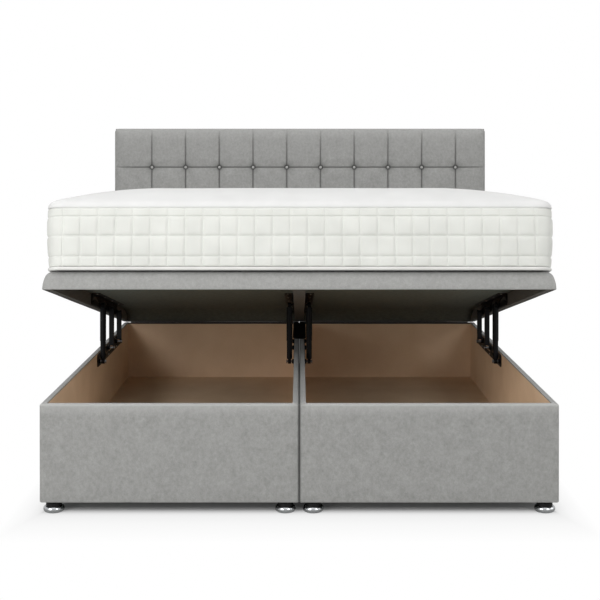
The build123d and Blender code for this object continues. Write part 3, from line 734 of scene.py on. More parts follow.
def screw_heads(places: Iterable[tuple[Vector, Vector]], radius: float) -> bmesh.types.BMesh:
    """Round screw heads with a sunk middle, on one mesh.

    Args:
        places: Where each head sits and the way it faces.
        radius: Radius of a head.

    Returns:
        All the heads.
    """
    shape = bmesh.new()
    height = radius * 0.55
    rim = radius * 0.2
    for point, facing in places:
        turn = facing.to_track_quat("Z", "Y").to_matrix().to_4x4()
        seat = Matrix.Translation(point) @ turn @ Matrix.Translation((0, 0, radius * 0.27))
        made = bmesh.ops.create_cone(
            shape, cap_ends=True, segments=12, radius1=radius, radius2=height, depth=height, matrix=seat
        )
        caps = {face for vert in made["verts"] for face in vert.link_faces}
        top = max(caps, key=lambda face: face.calc_center_median().dot(facing))
        bmesh.ops.inset_region(shape, faces=[top], thickness=rim)
        bmesh.ops.translate(shape, vec=-facing * rim, verts=top.verts)
    return shape


# Pieces


@dataclass
class BaseUpholstery:
    """Cloth of the two half bases and the dust covers under them."""

    fold: float = 22.8 * MM
    fold_down: float = 6 * MM
    hem: float = 35 * MM
    corner: float = 9 * MM
    top_edge: float = 7 * MM
    bottom_edge: float = 5 * MM
    cloth: float = 3.4 * MM
    swell: float = 2.5 * MM
    facet: float = 45 * MM
    # Widths of the painted shade along the groove between the halves and ahead of the bridge plate.
    groove: float = 5 * MM
    bridge_shadow: float = 110 * MM
    dust_cloth: float = 0.4 * MM

    def build(self) -> None:
        """Covers both halves."""
        for side in Side:
            self.cover(side)
            self.dust_cover(side)

    def cover(self, side: Side) -> None:
        """Cloth round one half, folded over the boards and under them."""
        node = side.word + "_base_cover"
        low, high = (Vector(corner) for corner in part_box(node))
        if side is Side.LEFT:
            low.x -= self.swell
        else:
            high.x += self.swell
        shape = bmesh.new()
        bmesh.ops.create_cube(shape, size=1.0)
        bmesh.ops.scale(shape, vec=high - low, verts=shape.verts)
        bmesh.ops.translate(shape, vec=(low + high) / 2, verts=shape.verts)
        uprights = [edge for edge in shape.edges if edge.verts[0].co.xy == edge.verts[1].co.xy]
        self.round_edges(shape, uprights, self.corner, 4)
        for level, radius in ((low.z, self.bottom_edge), (high.z, self.top_edge)):
            rim = [
                edge
                for edge in shape.edges
                if all(abs(vert.co.z - level) < SAME for vert in edge.verts)
            ]
            self.round_edges(shape, rim, radius, 3)
        self.open_face(shape, high.z, self.fold - self.top_edge, -self.fold_down)
        self.open_face(shape, low.z, self.hem - self.bottom_edge, self.cloth)
        for axis in range(3):
            slice_across(shape, axis, self.facet)
        ripple(shape, depth=0.7 * MM, width=0.22, seed=3.0 * side.value)
        bridge_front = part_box("bridge_plate")[0][1]
        # Painted shade and a painted highlight, stored on the points for the fabric.
        dark = shape.verts.layers.float.new("crease")
        light = shape.verts.layers.float.new("painted_highlight")
        for vert in shape.verts:
            vert[dark] = self.shade(vert.co, low, high, bridge_front)
            vert[light] = self.painted_highlight_share(vert.co, low, high)
        name = side.word + "_base_upholstery"
        add_piece(name, shape, PLUSH, Body.BASE, [node], thickness=self.cloth)

    def shade(self, point: Vector, low: Vector, high: Vector, bridge_front: float) -> float:
        """Painted shade on the cloth: in the groove, round the mechanism, at the turned-in edge.

        Args:
            point: A point of the cloth.
            low: Low corner of the half base.
            high: High corner of the half base.
            bridge_front: Y of the bridge plate's front.

        Returns:
            Share of the shade, from 0 to 1.
        """
        most = 0.9 * math.exp(-((point.x / self.groove) ** 2))
        on_top = point.z > high.z - self.fold
        if on_top and point.y > high.y - 2 * self.fold:
            turned = (high.y - self.top_edge - point.y) / (10 * MM)
            most = max(most, 0.95 * min(1.0, max(0.0, turned)))
        inside = min(point.x - low.x, high.x - point.x, point.y - low.y, high.y - point.y)
        if inside > self.fold - 1 * MM and on_top and point.z < high.z - 1 * MM:
            most = max(most, 0.9)
        if on_top and abs(point.x) < 1.5 * self.fold:
            ahead = max(0.0, bridge_front - point.y)
            most = max(most, 0.6 * math.exp(-ahead / self.bridge_shadow))
        return most

    def painted_highlight_share(self, point: Vector, low: Vector, high: Vector) -> float:
        """Painted highlight along the front top edge, where the cloth bends over it.

        Args:
            point: A point of the cloth.
            low: Low corner of the half base.
            high: High corner of the half base.

        Returns:
            Share of the lighter tone, from 0 to 1.
        """
        if point.y > low.y + self.fold or point.z < high.z - self.top_edge - 1 * MM:
            return 0.0
        beside_groove = min(1.0, abs(point.x) / self.fold)
        below = (high.z - point.z) / self.top_edge
        return beside_groove * (1 - 0.6 * min(1.0, max(0.0, below)) ** 2)

    @staticmethod
    def round_edges(
        shape: bmesh.types.BMesh, edges: list[bmesh.types.BMEdge], radius: float, segments: int
    ) -> None:
        """Rounds some edges of a shape."""
        bmesh.ops.bevel(
            shape, geom=edges, offset=radius, segments=segments, profile=0.5, affect="EDGES", material=-1
        )

    @staticmethod
    def open_face(shape: bmesh.types.BMesh, level: float, width: float, turn: float) -> None:
        """Leaves a strip of a level face, with its inner edge turned in.

        Args:
            shape: Skin to open.
            level: Height of the face.
            width: Width of the strip that stays.
            turn: How far the inner edge goes down, or up.
        """
        face = max(
            (face for face in shape.faces if abs(face.calc_center_median().z - level) < SAME),
            key=lambda face: face.calc_area(),
        )
        bmesh.ops.inset_region(shape, faces=[face], thickness=width, use_even_offset=True)
        rim = list(face.edges)
        bmesh.ops.delete(shape, geom=[face], context="FACES_ONLY")
        verts = push_edges(shape, rim)[0]
        bmesh.ops.translate(shape, vec=(0, 0, turn), verts=verts)

    def dust_cover(self, side: Side) -> None:
        """Thin dark cloth stapled under one half."""
        node = side.word + "_dust_cover"
        low, high = (Vector(corner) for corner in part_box(node))
        size = high - low
        middle = ((low.x + high.x) / 2, (low.y + high.y) / 2, high.z - self.dust_cloth)
        shape = grid(24, 48, 0.5)
        bmesh.ops.scale(shape, vec=(size.x, size.y, 1), verts=shape.verts)
        bmesh.ops.translate(shape, vec=middle, verts=shape.verts)
        ripple(shape, depth=0.5 * MM, width=0.12, seed=7.0 * side.value)
        bmesh.ops.reverse_faces(shape, faces=shape.faces)
        name = side.word + "_dust_cloth"
        piece = add_piece(
            name, shape, LINING, Body.BASE, [node], thickness=self.dust_cloth
        )


@dataclass
class Lid:
    """Cloth of the lid and the lining under its platform."""

    half_width: float = 917.5 * MM
    corner: float = 9 * MM
    corner_points: int = 10
    edge_inset: float = 34 * MM
    # Outline of the side: shares of the height, with the share of the inset there.
    bulge: tuple[tuple[float, float], ...] = (
        (0.04, 0.0), (0.18, 0.012), (0.30, 0.03), (0.42, 0.07), (0.53, 0.12),
        (0.62, 0.168), (0.70, 0.22), (0.77, 0.29), (0.83, 0.375), (0.88, 0.47),
        (0.92, 0.56), (0.955, 0.68), (0.98, 0.79), (0.993, 0.89), (1.0, 1.0),
    )
    turn_under: float = 3.5 * MM
    bottom_round: float = 1.2 * MM
    cloth: float = 2.4 * MM
    facet: float = 60 * MM
    # Painted shade under the lid and along its top rim, fading downwards over rim_fade, and a painted
    # lighter tone (nap_share) down the sides below the rim.
    under_shade: float = 0.85
    rim_shade: float = 0.3
    rim_fade: float = 9 * MM
    nap_share: float = 0.15
    lining_half: float = 893 * MM
    lining_y: tuple[float, float] = (-1063 * MM, 925 * MM)
    lining_z: float = 446.5 * MM
    lining_cloth: float = 0.5 * MM
    lining_slack: float = 2.0 * MM
    lining_sweep: float = 240 * MM

    def build(self) -> None:
        """Covers and lines the lid."""
        self.cover()
        self.lining()

    def cover(self) -> None:
        """Cloth over the lid, drawn in towards its top, turned under its rails."""
        tall = LID_TOP - LID_BOTTOM
        profile = [(self.turn_under, LID_BOTTOM + self.cloth)]
        profile += [(self.turn_under, LID_BOTTOM), (self.bottom_round, LID_BOTTOM)]
        profile += [(self.edge_inset * inset, LID_BOTTOM + tall * up) for up, inset in self.bulge]
        shape = bmesh.new()
        ring = bmesh.ops.create_circle(shape, segments=4 * self.corner_points, radius=1.0)["verts"]
        angles = [math.atan2(vert.co.y, vert.co.x) for vert in ring]
        edges = list(shape.edges)
        for step, (inset, height) in enumerate(profile):
            if step:
                ring, edges = push_edges(shape, edges)
            for vert, angle in zip(ring, angles):
                vert.co = self.rim_point(angle, inset, height)
        bmesh.ops.contextual_create(shape, geom=edges)
        bmesh.ops.recalc_face_normals(shape, faces=shape.faces)
        for axis in (0, 1):
            slice_across(shape, axis, self.facet)
        ripple(shape, depth=0.6 * MM, width=0.2, seed=11.0)
        # Painted shade under the lid and at its top rim; a painted lighter tone down its sides.
        dark = shape.verts.layers.float.new("crease")
        light = shape.verts.layers.float.new("painted_highlight")
        for vert in shape.verts:
            under = vert.co.z < LID_BOTTOM + self.cloth and self.inwards(vert.co) > 2 * MM
            fallen = max(0.0, LID_TOP - vert.co.z)
            at_rim = self.rim_shade * math.exp(-fallen / self.rim_fade)
            vert[dark] = self.under_shade if under else at_rim
            vert[light] = 0.0 if under else self.nap_share * min(1.0, 3 * fallen / tall)
        add_piece(
            "lid_upholstery", shape, PLUSH, Body.LID, ["lid_cover"],
            thickness=self.cloth, placing=lid_opening(),
        )

    def rim_point(self, angle: float, inset: float, height: float) -> Vector:
        """Point of the cover's side, whose corners share the ring's points evenly.

        Args:
            angle: Angle of the point on the ring that the side is made of.
            inset: How far the side is drawn in. The head end stays where it is.
            height: Height of the point.

        Returns:
            The point.
        """
        half_length = (HEAD_FACE - FOOT_FACE) / 2
        quarter = math.floor(angle / QUARTER)
        spread = (angle - quarter * QUARTER) / QUARTER * self.corner_points / (self.corner_points - 1)
        turned = (quarter + min(spread, 1.0)) * QUARTER
        middle = (quarter + 0.5) * QUARTER
        side_x = math.copysign(1, math.cos(middle))
        side_y = math.copysign(1, math.sin(middle))
        x = side_x * (self.half_width - inset - self.corner) + self.corner * math.cos(turned)
        y = side_y * (half_length - self.corner) + self.corner * math.sin(turned)
        drawn = inset if side_y < 0 else 0.0
        return Vector((x, y + (HEAD_FACE + FOOT_FACE) / 2 + drawn, height))

    def inwards(self, point: Vector) -> float:
        """How far a point lies inside the outline of the lid."""
        return min(self.half_width - abs(point.x), point.y - FOOT_FACE, HEAD_FACE - point.y)

    def lining(self) -> None:
        """Cloth stapled under the platform, that comes down slowly to the rear rail's foot."""
        low, high = self.lining_y
        drop = self.lining_z - LID_BOTTOM - 1.5 * MM
        length = high - low
        shape = grid(48, 160)
        dark = shape.verts.layers.float.new("crease")
        for vert in shape.verts:
            along = (vert.co.y + 1) / 2 * length
            across = max(0.0, math.cos(math.pi * (abs(vert.co.x) * 2 - 1) / 2))
            slack = self.lining_slack * across * math.sin(math.pi * along / length)
            late = max(0.0, along - length + self.lining_sweep) / self.lining_sweep
            height = self.lining_z - slack - drop * late**2.6
            vert.co = Vector((vert.co.x * self.lining_half, low + along, height))
            # Painted shade, darker towards the rear.
            vert[dark] = 0.3 * max(0.0, along / length - 0.3) / 0.7
        bmesh.ops.reverse_faces(shape, faces=shape.faces)
        piece = add_piece(
            "lid_lining_cloth", shape, LINING, Body.LID, ["lid_lining"],
            thickness=self.lining_cloth, placing=lid_opening(),
        )


@dataclass
class Mattress:
    """Quilted border, crowned top and piping, built on the closed lid."""

    half_width: float = 906 * MM
    half_length: float = 1000 * MM
    radius: float = 50 * MM
    centre_y: float = -84 * MM
    middle_x: float = 2 * MM
    seam_height: float = 238 * MM
    rebate: float = 14 * MM
    crown: float = 92 * MM
    side_run: float = 380 * MM
    end_run: float = 200 * MM
    cell: float = 63 * MM
    first_line: float = -34.2 * MM
    row_shares: tuple[float, ...] = (0.172, 0.351, 0.335, 0.142)
    stitch_inset: float = 4.5 * MM
    puff: float = 6.5 * MM
    barrel: float = 4.0 * MM
    lean: float = 13.0 * MM
    border_cloth: float = 3 * MM
    # How square a cell is, how full, and how much the cells differ.
    squareness: float = 7.0
    fullness: float = 0.6
    unevenness: float = 0.2
    # Small puckers along the stitches: their size and their share of the puff.
    pucker: float = 9 * MM
    pucker_share: float = 0.16
    gathering: float = 0.78
    steps: int = 10
    # Share of the crown that rises at once at the seam, and how round the rest is.
    lip: float = 0.06
    roundness: float = 1.75
    # Where the crown is flat, as a share beyond its runs, and how its grid crowds to the edge.
    plateau: float = 1.04
    bunching: float = 0.35
    top_inset: float = 4 * MM
    # Rings under the top's edge: millimetres outwards and down from the one before.
    tuck: tuple[tuple[float, float], ...] = ((0.6, 3.0), (0.9, 4.0), (-0.2, 3.5), (-1.6, 2.5))
    # Level, radius and outward place of each piping, from the lid and from the upper seam.
    lower_tape: tuple[float, float, float] = (7 * MM, 6.8 * MM, -3 * MM)
    upper_tape: tuple[float, float, float] = (1.5 * MM, 1.8 * MM, -5.5 * MM)

    @property
    def outline(self) -> RoundedOutline:
        """Plan of the mattress."""
        return RoundedOutline(self.half_width, self.half_length, self.radius, self.centre_y)

    @property
    def placing(self) -> Matrix:
        """Moves a shape built on the closed lid to the middle of the open lid."""
        return lid_opening() @ Matrix.Translation((self.middle_x, 0, 0))

    @property
    def cells(self) -> int:
        """Number of cells that go round the mattress."""
        return round(self.outline.perimeter / self.cell)

    @property
    def pitch(self) -> float:
        """Width of a cell."""
        return self.outline.perimeter / self.cells

    def build(self) -> None:
        """Makes the border, the top and both pipings."""
        self.border()
        self.top()
        self.piping()

    def cell_at(self, along: float) -> tuple[float, float]:
        """Number of the cell at a distance round the mattress, and the share across it."""
        return divmod((along - self.first_line) / self.pitch, 1.0)

    def gather(self, along: float) -> float:
        """Moves a point round the band nearer to its stitch line, where the cloth bends most."""
        cell, across = self.cell_at(along)
        return self.first_line + (cell + gathered(across, self.gathering)) * self.pitch

    def gather_up(self, share: float) -> float:
        """Moves a height share nearer to its stitch line."""
        row, upward = divmod(share * len(self.row_shares), 1.0)
        row = int(row)
        if row >= len(self.row_shares):
            return 1.0
        return sum(self.row_shares[:row]) + gathered(upward, self.gathering) * self.row_shares[row]

    def quilting(self, along: float, share: float) -> float:
        """How full the quilting is at a point of the border.

        Args:
            along: Distance round the mattress.
            share: Height within the border, from 0 to 1.

        Returns:
            Zero on a stitch line, about one in the middle of a cell.
        """
        column, across = self.cell_at(along)
        low = 0.0
        row = 0
        for row, height in enumerate(self.row_shares):
            if share <= low + height or row == len(self.row_shares) - 1:
                break
            low += height
        upward = min(1.0, max(0.0, (share - low) / self.row_shares[row]))
        across_full, upward_full = (
            max(0.0, 1 - abs(2 * place - 1) ** self.squareness) ** self.fullness
            for place in (across, upward)
        )
        uneven = noise.noise(Vector((column % self.cells * 1.7, row * 3.1, 0.5)))
        small = 0.7 if self.row_shares[row] < 0.15 else 1.0
        turn = 2 * math.pi * along / self.outline.perimeter
        reach = self.outline.perimeter / (2 * math.pi * self.pucker)
        spot = Vector((math.cos(turn) * reach, math.sin(turn) * reach, share * 7 + row * 2.3))
        puckers = self.pucker_share * noise.noise(spot) * (1 - min(across_full, upward_full))
        return across_full * upward_full * (1 + self.unevenness * uneven) * small + puckers

    def border(self) -> None:
        """Side band, quilted in four rows of nearly square cells."""
        low = LID_TOP + self.rebate
        height = self.seam_height - 2 * self.rebate

        def section(along: float, share: float) -> tuple[float, float]:
            """Outward offset and height of the band."""
            up = self.gather_up(share)
            outward = self.outline.place(along)[1]
            calm = 1 - 0.6 * min(1.0, 4 * abs(outward.x * outward.y))
            full = self.barrel * math.sin(math.pi * up) + self.lean * up - self.stitch_inset
            return self.puff * self.quilting(along, up) * calm + full, low + height * up

        rows = 8 * len(self.row_shares)
        shape = band_round(self.outline, self.cells * self.steps, rows, section, self.gather)
        piece = add_piece(
            "mattress_quilted_border", shape, BORDER_KNIT, Body.LID,
            ["mattress_border", "mattress_core"], 180, self.border_cloth, self.placing,
        )

    def rise(self, x: float, y: float) -> float:
        """Height of the top over its seam.

        Args:
            x: Distance from the nearer side edge.
            y: Distance from the nearer end edge.

        Returns:
            Height in metres.
        """
        side = min(1.0, x / self.side_run)
        end = min(1.0, y / self.end_run)
        near = (side**-4 + end**-4) ** -0.25 if side > 0 and end > 0 else 0.0
        share = min(1.0, near * self.plateau)
        full = (1 - self.lip) * (1 - (1 - share) ** self.roundness)
        return self.crown * (self.lip * min(1.0, share / 0.02) + full)

    def outwards(self, point: Vector) -> Vector:
        """Level direction away from the mattress at a point of its edge."""
        over_x = max(0.0, abs(point.x) - (self.half_width - self.radius))
        over_y = max(0.0, abs(point.y - self.centre_y) - (self.half_length - self.radius))
        way = Vector((math.copysign(over_x, point.x), math.copysign(over_y, point.y - self.centre_y), 0))
        return way.normalized()

    def bunched(self, share: float) -> float:
        """Moves a grid line towards the edge, where the top bends most."""
        return self.bunching * math.sin(share * QUARTER) + (1 - self.bunching) * share

    def top(self) -> None:
        """Crowned sleeping surface, steeper at the foot and the head."""
        seam = LID_TOP + self.seam_height
        half_width = self.half_width + self.lean - self.top_inset
        half_length = self.half_length + self.lean - self.top_inset
        shape = grid(120, 130)
        for vert in shape.verts:
            x, y = self.bunched(vert.co.x) * half_width, self.bunched(vert.co.y) * half_length
            height = self.rise(half_width - abs(x), half_length - abs(y))
            x, y = round_corner(x, y, half_width, half_length, self.radius)
            soft = noise.noise(Vector((x, y, 0)) / 0.3) * 1.5 * MM * min(1.0, height / (20 * MM))
            vert.co = Vector((x, y + self.centre_y, seam + height + soft))
        rim = [edge for edge in shape.edges if edge.is_boundary]
        for out, down in self.tuck:
            verts, rim = push_edges(shape, rim)
            for vert in verts:
                vert.co += self.outwards(vert.co) * out * MM - Vector((0, 0, down * MM))
        bmesh.ops.holes_fill(shape, edges=rim, sides=0)
        piece = add_piece(
            "mattress_crowned_top", shape, TOP_KNIT, Body.LID, ["mattress_top"],
            crease=60, placing=self.placing,
        )

    def piping(self) -> None:
        """Taped seams at the top and the bottom of the border."""
        upper_seam = LID_TOP + self.seam_height - self.rebate
        tapes = ((LID_TOP, 0.0, self.lower_tape), (upper_seam, self.lean, self.upper_tape))
        both = bmesh.new()
        for seam, lean, (level, radius, out) in tapes:
            section = self.round_section(seam + level, radius, lean + out)
            mesh = mesh_of("Piping", band_round(self.outline, 480, 12, section))
            both.from_mesh(mesh)
            bpy.data.meshes.remove(mesh)
        add_piece(
            "mattress_seam_tape", both, SEAM_TAPE, Body.LID, ["mattress_piping"],
            crease=180, placing=self.placing,
        )

    @staticmethod
    def round_section(
        level: float, radius: float, out: float
    ) -> Callable[[float, float], tuple[float, float]]:
        """Section of a piping, the same all the way round.

        Args:
            level: Height of its middle.
            radius: Its radius.
            out: How far its middle lies outside the outline.

        Returns:
            Section for a band.
        """

        def section(_along: float, share: float) -> tuple[float, float]:
            """Point on the round of the piping."""
            angle = 2 * math.pi * share
            return radius * math.cos(angle) + out, level + radius * math.sin(angle)

        return section


@dataclass
class Headboard:
    """Tufted pad with its buttons, and the cloth turned round the board."""

    half_width: float = 978 * MM
    middle_x: float = 3.5 * MM
    bottom: float = 420 * MM
    top: float = 1403 * MM
    front: float = 986 * MM
    back: float = 1036 * MM
    board_back: float = 1051 * MM
    pitch: float = 178 * MM
    columns: int = 10
    row_pitch: float = 204 * MM
    rows: int = 4
    shift: float = 19.5 * MM
    edge: float = 60 * MM
    edge_fall: float = 15 * MM
    edge_roll: float = 9 * MM
    corner: float = 20 * MM
    seam: float = 9 * MM
    seam_half: float = 3.4 * MM
    shoulder: float = 6 * MM
    shoulder_half: float = 46 * MM
    crease_fade: float = 48 * MM
    # Dimple at each button, and the folds that run out from it.
    dimple: float = 9 * MM
    dimple_half: float = 15 * MM
    fold: float = 1.1 * MM
    fold_fade: float = 30 * MM
    # Painted shade: a dark line in each seam, and a dark ring and a halo round each button.
    line_half: float = 2.4 * MM
    ring: float = 10.5 * MM
    ring_half: float = 4.5 * MM
    halo: float = 26 * MM
    button: float = 7.0 * MM
    button_depth: float = 15 * MM
    hem: float = 45 * MM
    back_cloth: float = 1.0 * MM
    gathering: float = 0.72
    steps: int = 26

    def build(self) -> None:
        """Makes the pad, the buttons and the turned edge."""
        self.pad()
        self.buttons()
        self.turned_edge()

    @property
    def middle_z(self) -> float:
        """Height of the headboard's middle."""
        return (self.top + self.bottom) / 2

    @property
    def half_height(self) -> float:
        """Half the height of the headboard."""
        return (self.top - self.bottom) / 2

    @property
    def button_xs(self) -> list[float]:
        """X of each column of buttons."""
        middle = (self.columns - 1) / 2
        return [self.shift + self.pitch * (index - middle) for index in range(self.columns)]

    @property
    def button_zs(self) -> list[float]:
        """Height of each row of buttons, lowest first."""
        return [self.top - self.row_pitch * (index + 1) for index in reversed(range(self.rows))]

    def warped(self, stops: list[float], place: float) -> float:
        """Place of a grid line, closer together near the seams.

        Args:
            stops: Ends of the cells, in order.
            place: Where the line is on the even grid, from -1 to 1.

        Returns:
            Its place along the pad.
        """
        lines = self.steps * (len(stops) - 1)
        cell, step = divmod(round((place + 1) / 2 * lines), self.steps)
        if cell >= len(stops) - 1:
            return stops[-1]
        share = gathered(step / self.steps, self.gathering)
        return stops[cell] + (stops[cell + 1] - stops[cell]) * share

    def pull(self, distance: float, kept: float) -> float:
        """How far a seam draws the cloth in at a distance from it.

        Args:
            distance: Distance from the seam.
            kept: Share of the crease that is left, which fades near the edges.

        Returns:
            Depth in metres.
        """
        near = min(1.0, distance / self.shoulder_half)
        shallow = self.shoulder * (1 - near * near * (3 - 2 * near))
        return (shallow + self.seam * math.exp(-((distance / self.seam_half) ** 2))) * kept

    def inside(self, x: float, z: float) -> float:
        """Distance to the nearest edge of the pad, whose corners are round."""
        off_x = self.half_width - abs(x)
        off_z = min(self.top - z, z - self.bottom)
        if off_x < self.corner and off_z < self.corner:
            return self.corner - math.hypot(self.corner - off_x, self.corner - off_z)
        return min(off_x, off_z)

    def creases(self, x: float, z: float) -> tuple[float, float, float]:
        """Offsets from the nearest seams and what the edges leave of each crease."""
        off_x = min((x - seam for seam in self.button_xs), key=abs)
        off_z = min((z - seam for seam in self.button_zs), key=abs)
        room = min(self.top - z, z - self.bottom, self.half_width - abs(x))
        return off_x, off_z, 1 - math.exp(-max(0.0, room) / self.crease_fade)

    def depth(self, x: float, z: float) -> float:
        """How far behind its front plane the cloth lies.

        Args:
            x: Place across the headboard.
            z: Height.

        Returns:
            Depth in metres.
        """
        off_x, off_z, kept = self.creases(x, z)
        down = self.pull(abs(off_x), kept)
        across = self.pull(abs(off_z), kept)
        total = down + across - down * across / (self.seam + self.shoulder)
        reach = math.hypot(off_x, off_z)
        total += self.dimple * math.exp(-((reach / self.dimple_half) ** 2))
        turn = math.atan2(off_z, off_x)
        folds = math.cos(4 * turn + math.pi) + 0.6 * math.sin(7 * turn + x * 40 + z * 25)
        total += self.fold * folds * math.exp(-reach / self.fold_fade) * min(1.0, reach / (12 * MM))
        edge = max(0.0, self.inside(x, z))
        if edge < self.edge:
            off = 1 - edge / self.edge
            total += self.edge_fall * (1 - math.sqrt(1 - off * off)) + self.edge_roll * off**2.2
        return total + 1.2 * MM * noise.noise(Vector((x, 0, z)) / 0.06)

    def shade(self, x: float, z: float) -> float:
        """Painted shade in the creases and round each button."""
        off_x, off_z, kept = self.creases(x, z)
        reach = math.hypot(off_x, off_z)
        line = max(math.exp(-((off / self.line_half) ** 2)) for off in (off_x, off_z)) * kept
        line *= 0.55 + 0.4 * math.exp(-reach / (40 * MM))
        ring = math.exp(-(((reach - self.ring) / self.ring_half) ** 2))
        halo = 0.45 * math.exp(-((reach / self.halo) ** 2))
        return min(1.0, max(line + halo * (1 - line), 0.97 * ring))

    def pad(self) -> None:
        """Padding drawn in at its seams and buttons."""
        stops_x = [-self.half_width, *self.button_xs, self.half_width]
        stops_z = [self.bottom, *self.button_zs, self.top]
        shape = grid(self.steps * (len(stops_x) - 1), self.steps * (len(stops_z) - 1))
        dark = shape.verts.layers.float.new("crease")
        light = shape.verts.layers.float.new("painted_highlight")
        for vert in shape.verts:
            x, z = self.warped(stops_x, vert.co.x), self.warped(stops_z, vert.co.y) - self.middle_z
            x, z = round_corner(x, z, self.half_width, self.half_height, self.corner)
            z += self.middle_z
            vert.co = Vector((x, self.front + self.depth(x, z), z))
            # Painted shade in the creases and round the buttons.
            vert[dark] = self.shade(x, z)
            # Painted highlight near the top edge, kept out of the painted shade.
            vert[light] = 0.4 * math.exp(-(self.top - z) / (75 * MM)) * (1 - vert[dark])
        for vert in push_edges(shape, [edge for edge in shape.edges if edge.is_boundary])[0]:
            vert.co.y = self.back
        rim = [edge for edge in shape.edges if edge.is_boundary]
        bmesh.ops.holes_fill(shape, edges=rim, sides=0)
        bmesh.ops.translate(shape, vec=(self.middle_x, 0, 0), verts=shape.verts)
        piece = add_piece(
            "headboard_tufted_pad", shape, PLUSH, Body.BASE, ["headboard_pad"], crease=75
        )

    def buttons(self) -> None:
        """Covered buttons, flattened balls that sit in their dimples."""
        shape = bmesh.new()
        y = self.front + self.button_depth
        flat = Matrix.Diagonal((1, 0.5, 1, 1))
        for x in self.button_xs:
            for z in self.button_zs:
                place = Matrix.Translation((self.middle_x + x, y, z)) @ flat
                bmesh.ops.create_uvsphere(
                    shape, u_segments=16, v_segments=10, radius=self.button, matrix=place
                )
        add_piece(
            "headboard_covered_buttons", shape, BUTTON_PLUSH_PAINTED_HIGHLIGHT, Body.BASE,
            ["headboard_buttons"],
        )

    def frame_point(self, sign_x: float, sign_z: float, inset: float, y: float) -> Vector:
        """Corner of the board, drawn in."""
        x = math.copysign(self.half_width - inset, sign_x)
        return Vector((x, y, self.middle_z + math.copysign(self.half_height - inset, sign_z)))

    def turned_edge(self) -> None:
        """Cloth drawn round the board's edge and stapled on its back."""
        outer = 0.6 * MM
        behind = self.board_back + 1.2 * MM
        rings = ((0.0, self.board_back - 2 * MM), (2 * MM, behind), (self.hem, behind))
        shape = grid(1, 1)
        bmesh.ops.delete(shape, geom=shape.faces[:], context="FACES_ONLY")
        for vert in shape.verts:
            vert.co = self.frame_point(vert.co.x, vert.co.y, outer, self.back)
        rim = shape.edges[:]
        for inset, y in rings:
            verts, rim = push_edges(shape, rim)
            for vert in verts:
                up = vert.co.z - self.middle_z
                vert.co = self.frame_point(vert.co.x, up, outer + inset, y)
        bmesh.ops.recalc_face_normals(shape, faces=shape.faces)
        for axis in (0, 2):
            slice_across(shape, axis, 30 * MM)
        ripple(shape, depth=0.5 * MM, width=0.05, seed=4.0)
        bmesh.ops.translate(shape, vec=(self.middle_x, 0, 0), verts=shape.verts)
        add_piece(
            "headboard_turned_edge", shape, PLUSH, Body.BASE, thickness=self.back_cloth
        )


@dataclass
class Fasteners:
    """Screws that hold the mechanisms and the brackets."""

    wall_outer: float = 893 * MM
    wall_inner: float = 22.4 * MM
    plate: float = 2.6 * MM
    plate_ys: tuple[float, ...] = (36 * MM, 276 * MM, 506 * MM)
    plate_z: float = 336 * MM
    plate_screw: float = 5.0 * MM
    flange: float = 26 * MM
    flange_stations: tuple[float, ...] = (880 * MM, 1080 * MM, 1290 * MM, 1490 * MM)
    flange_z: float = 444 * MM
    flange_screw: float = 4.5 * MM

    def build(self) -> None:
        """Sets the screws of the base plates and of the lid brackets."""
        plates, flanges = [], []
        for wall, facing in self.walls:
            x = wall + facing * self.plate
            plates += [(Vector((x, y, self.plate_z)), Vector((facing, 0, 0))) for y in self.plate_ys]
            x = wall + facing * self.flange
            ys = [FOOT_FACE + station for station in self.flange_stations]
            flanges += [(Vector((x, y, self.flange_z)), Vector((0, 0, -1))) for y in ys]
        shape = screw_heads(plates, self.plate_screw)
        add_piece("base_plate_screws", shape, ZINC, Body.BASE)
        shape = screw_heads(flanges, self.flange_screw)
        add_piece("lid_bracket_screws", shape, ZINC, Body.LID, placing=lid_opening())

    @property
    def walls(self) -> list[tuple[float, float]]:
        """X of each wall's inner face and the way it faces."""
        outer, inner = self.wall_outer, self.wall_inner
        return [(-outer, 1.0), (-inner, -1.0), (inner, 1.0), (outer, -1.0)]


@dataclass
class CarriedNodes:
    """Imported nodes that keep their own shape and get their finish."""

    frame: dict

    @staticmethod
    def finish_of(name: str) -> Finish | None:
        """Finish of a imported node, by the first rule with a word of its name.

        Args:
            name: Name of the node.

        Returns:
            The finish, or None where another piece stands for the node.
        """
        lifting = ("bridge_plate", "base_plate", "lid_bracket", "arms", "strut_cylinders", "strut_rods")
        rules = (
            (CHROME, ("glide_bowls",)),
            (NYLON, ("glide_sockets",)),
            (ZINC, ("link_plates", "headboard_bolts")),
            (PIN_STEEL, ("pivot_pins",)),
            (POWDER, ("hinge", "pins", *lifting)),
            (PINE_UPRIGHT, ("headboard_struts", "headboard_packers")),
            (CHIPBOARD, ("headboard_board", "platform_board")),
            (PINE, ("bearers",)),
            (STAINED_PINE, ("_rail",)),
            (BOARD, ("panel", "floor_board")),
        )
        for finish, words in rules:
            if any(word in name for word in words):
                return finish
        return None

    def build(self) -> None:
        """Gives every carried node its finish."""
        for name, node in self.frame["nodes"].items():
            finish = self.finish_of(name)
            if finish is None:
                continue
            node.data.materials.clear()
            node.data.materials.append(finish.material())
            log.info("%s: %s", name, finish.name)


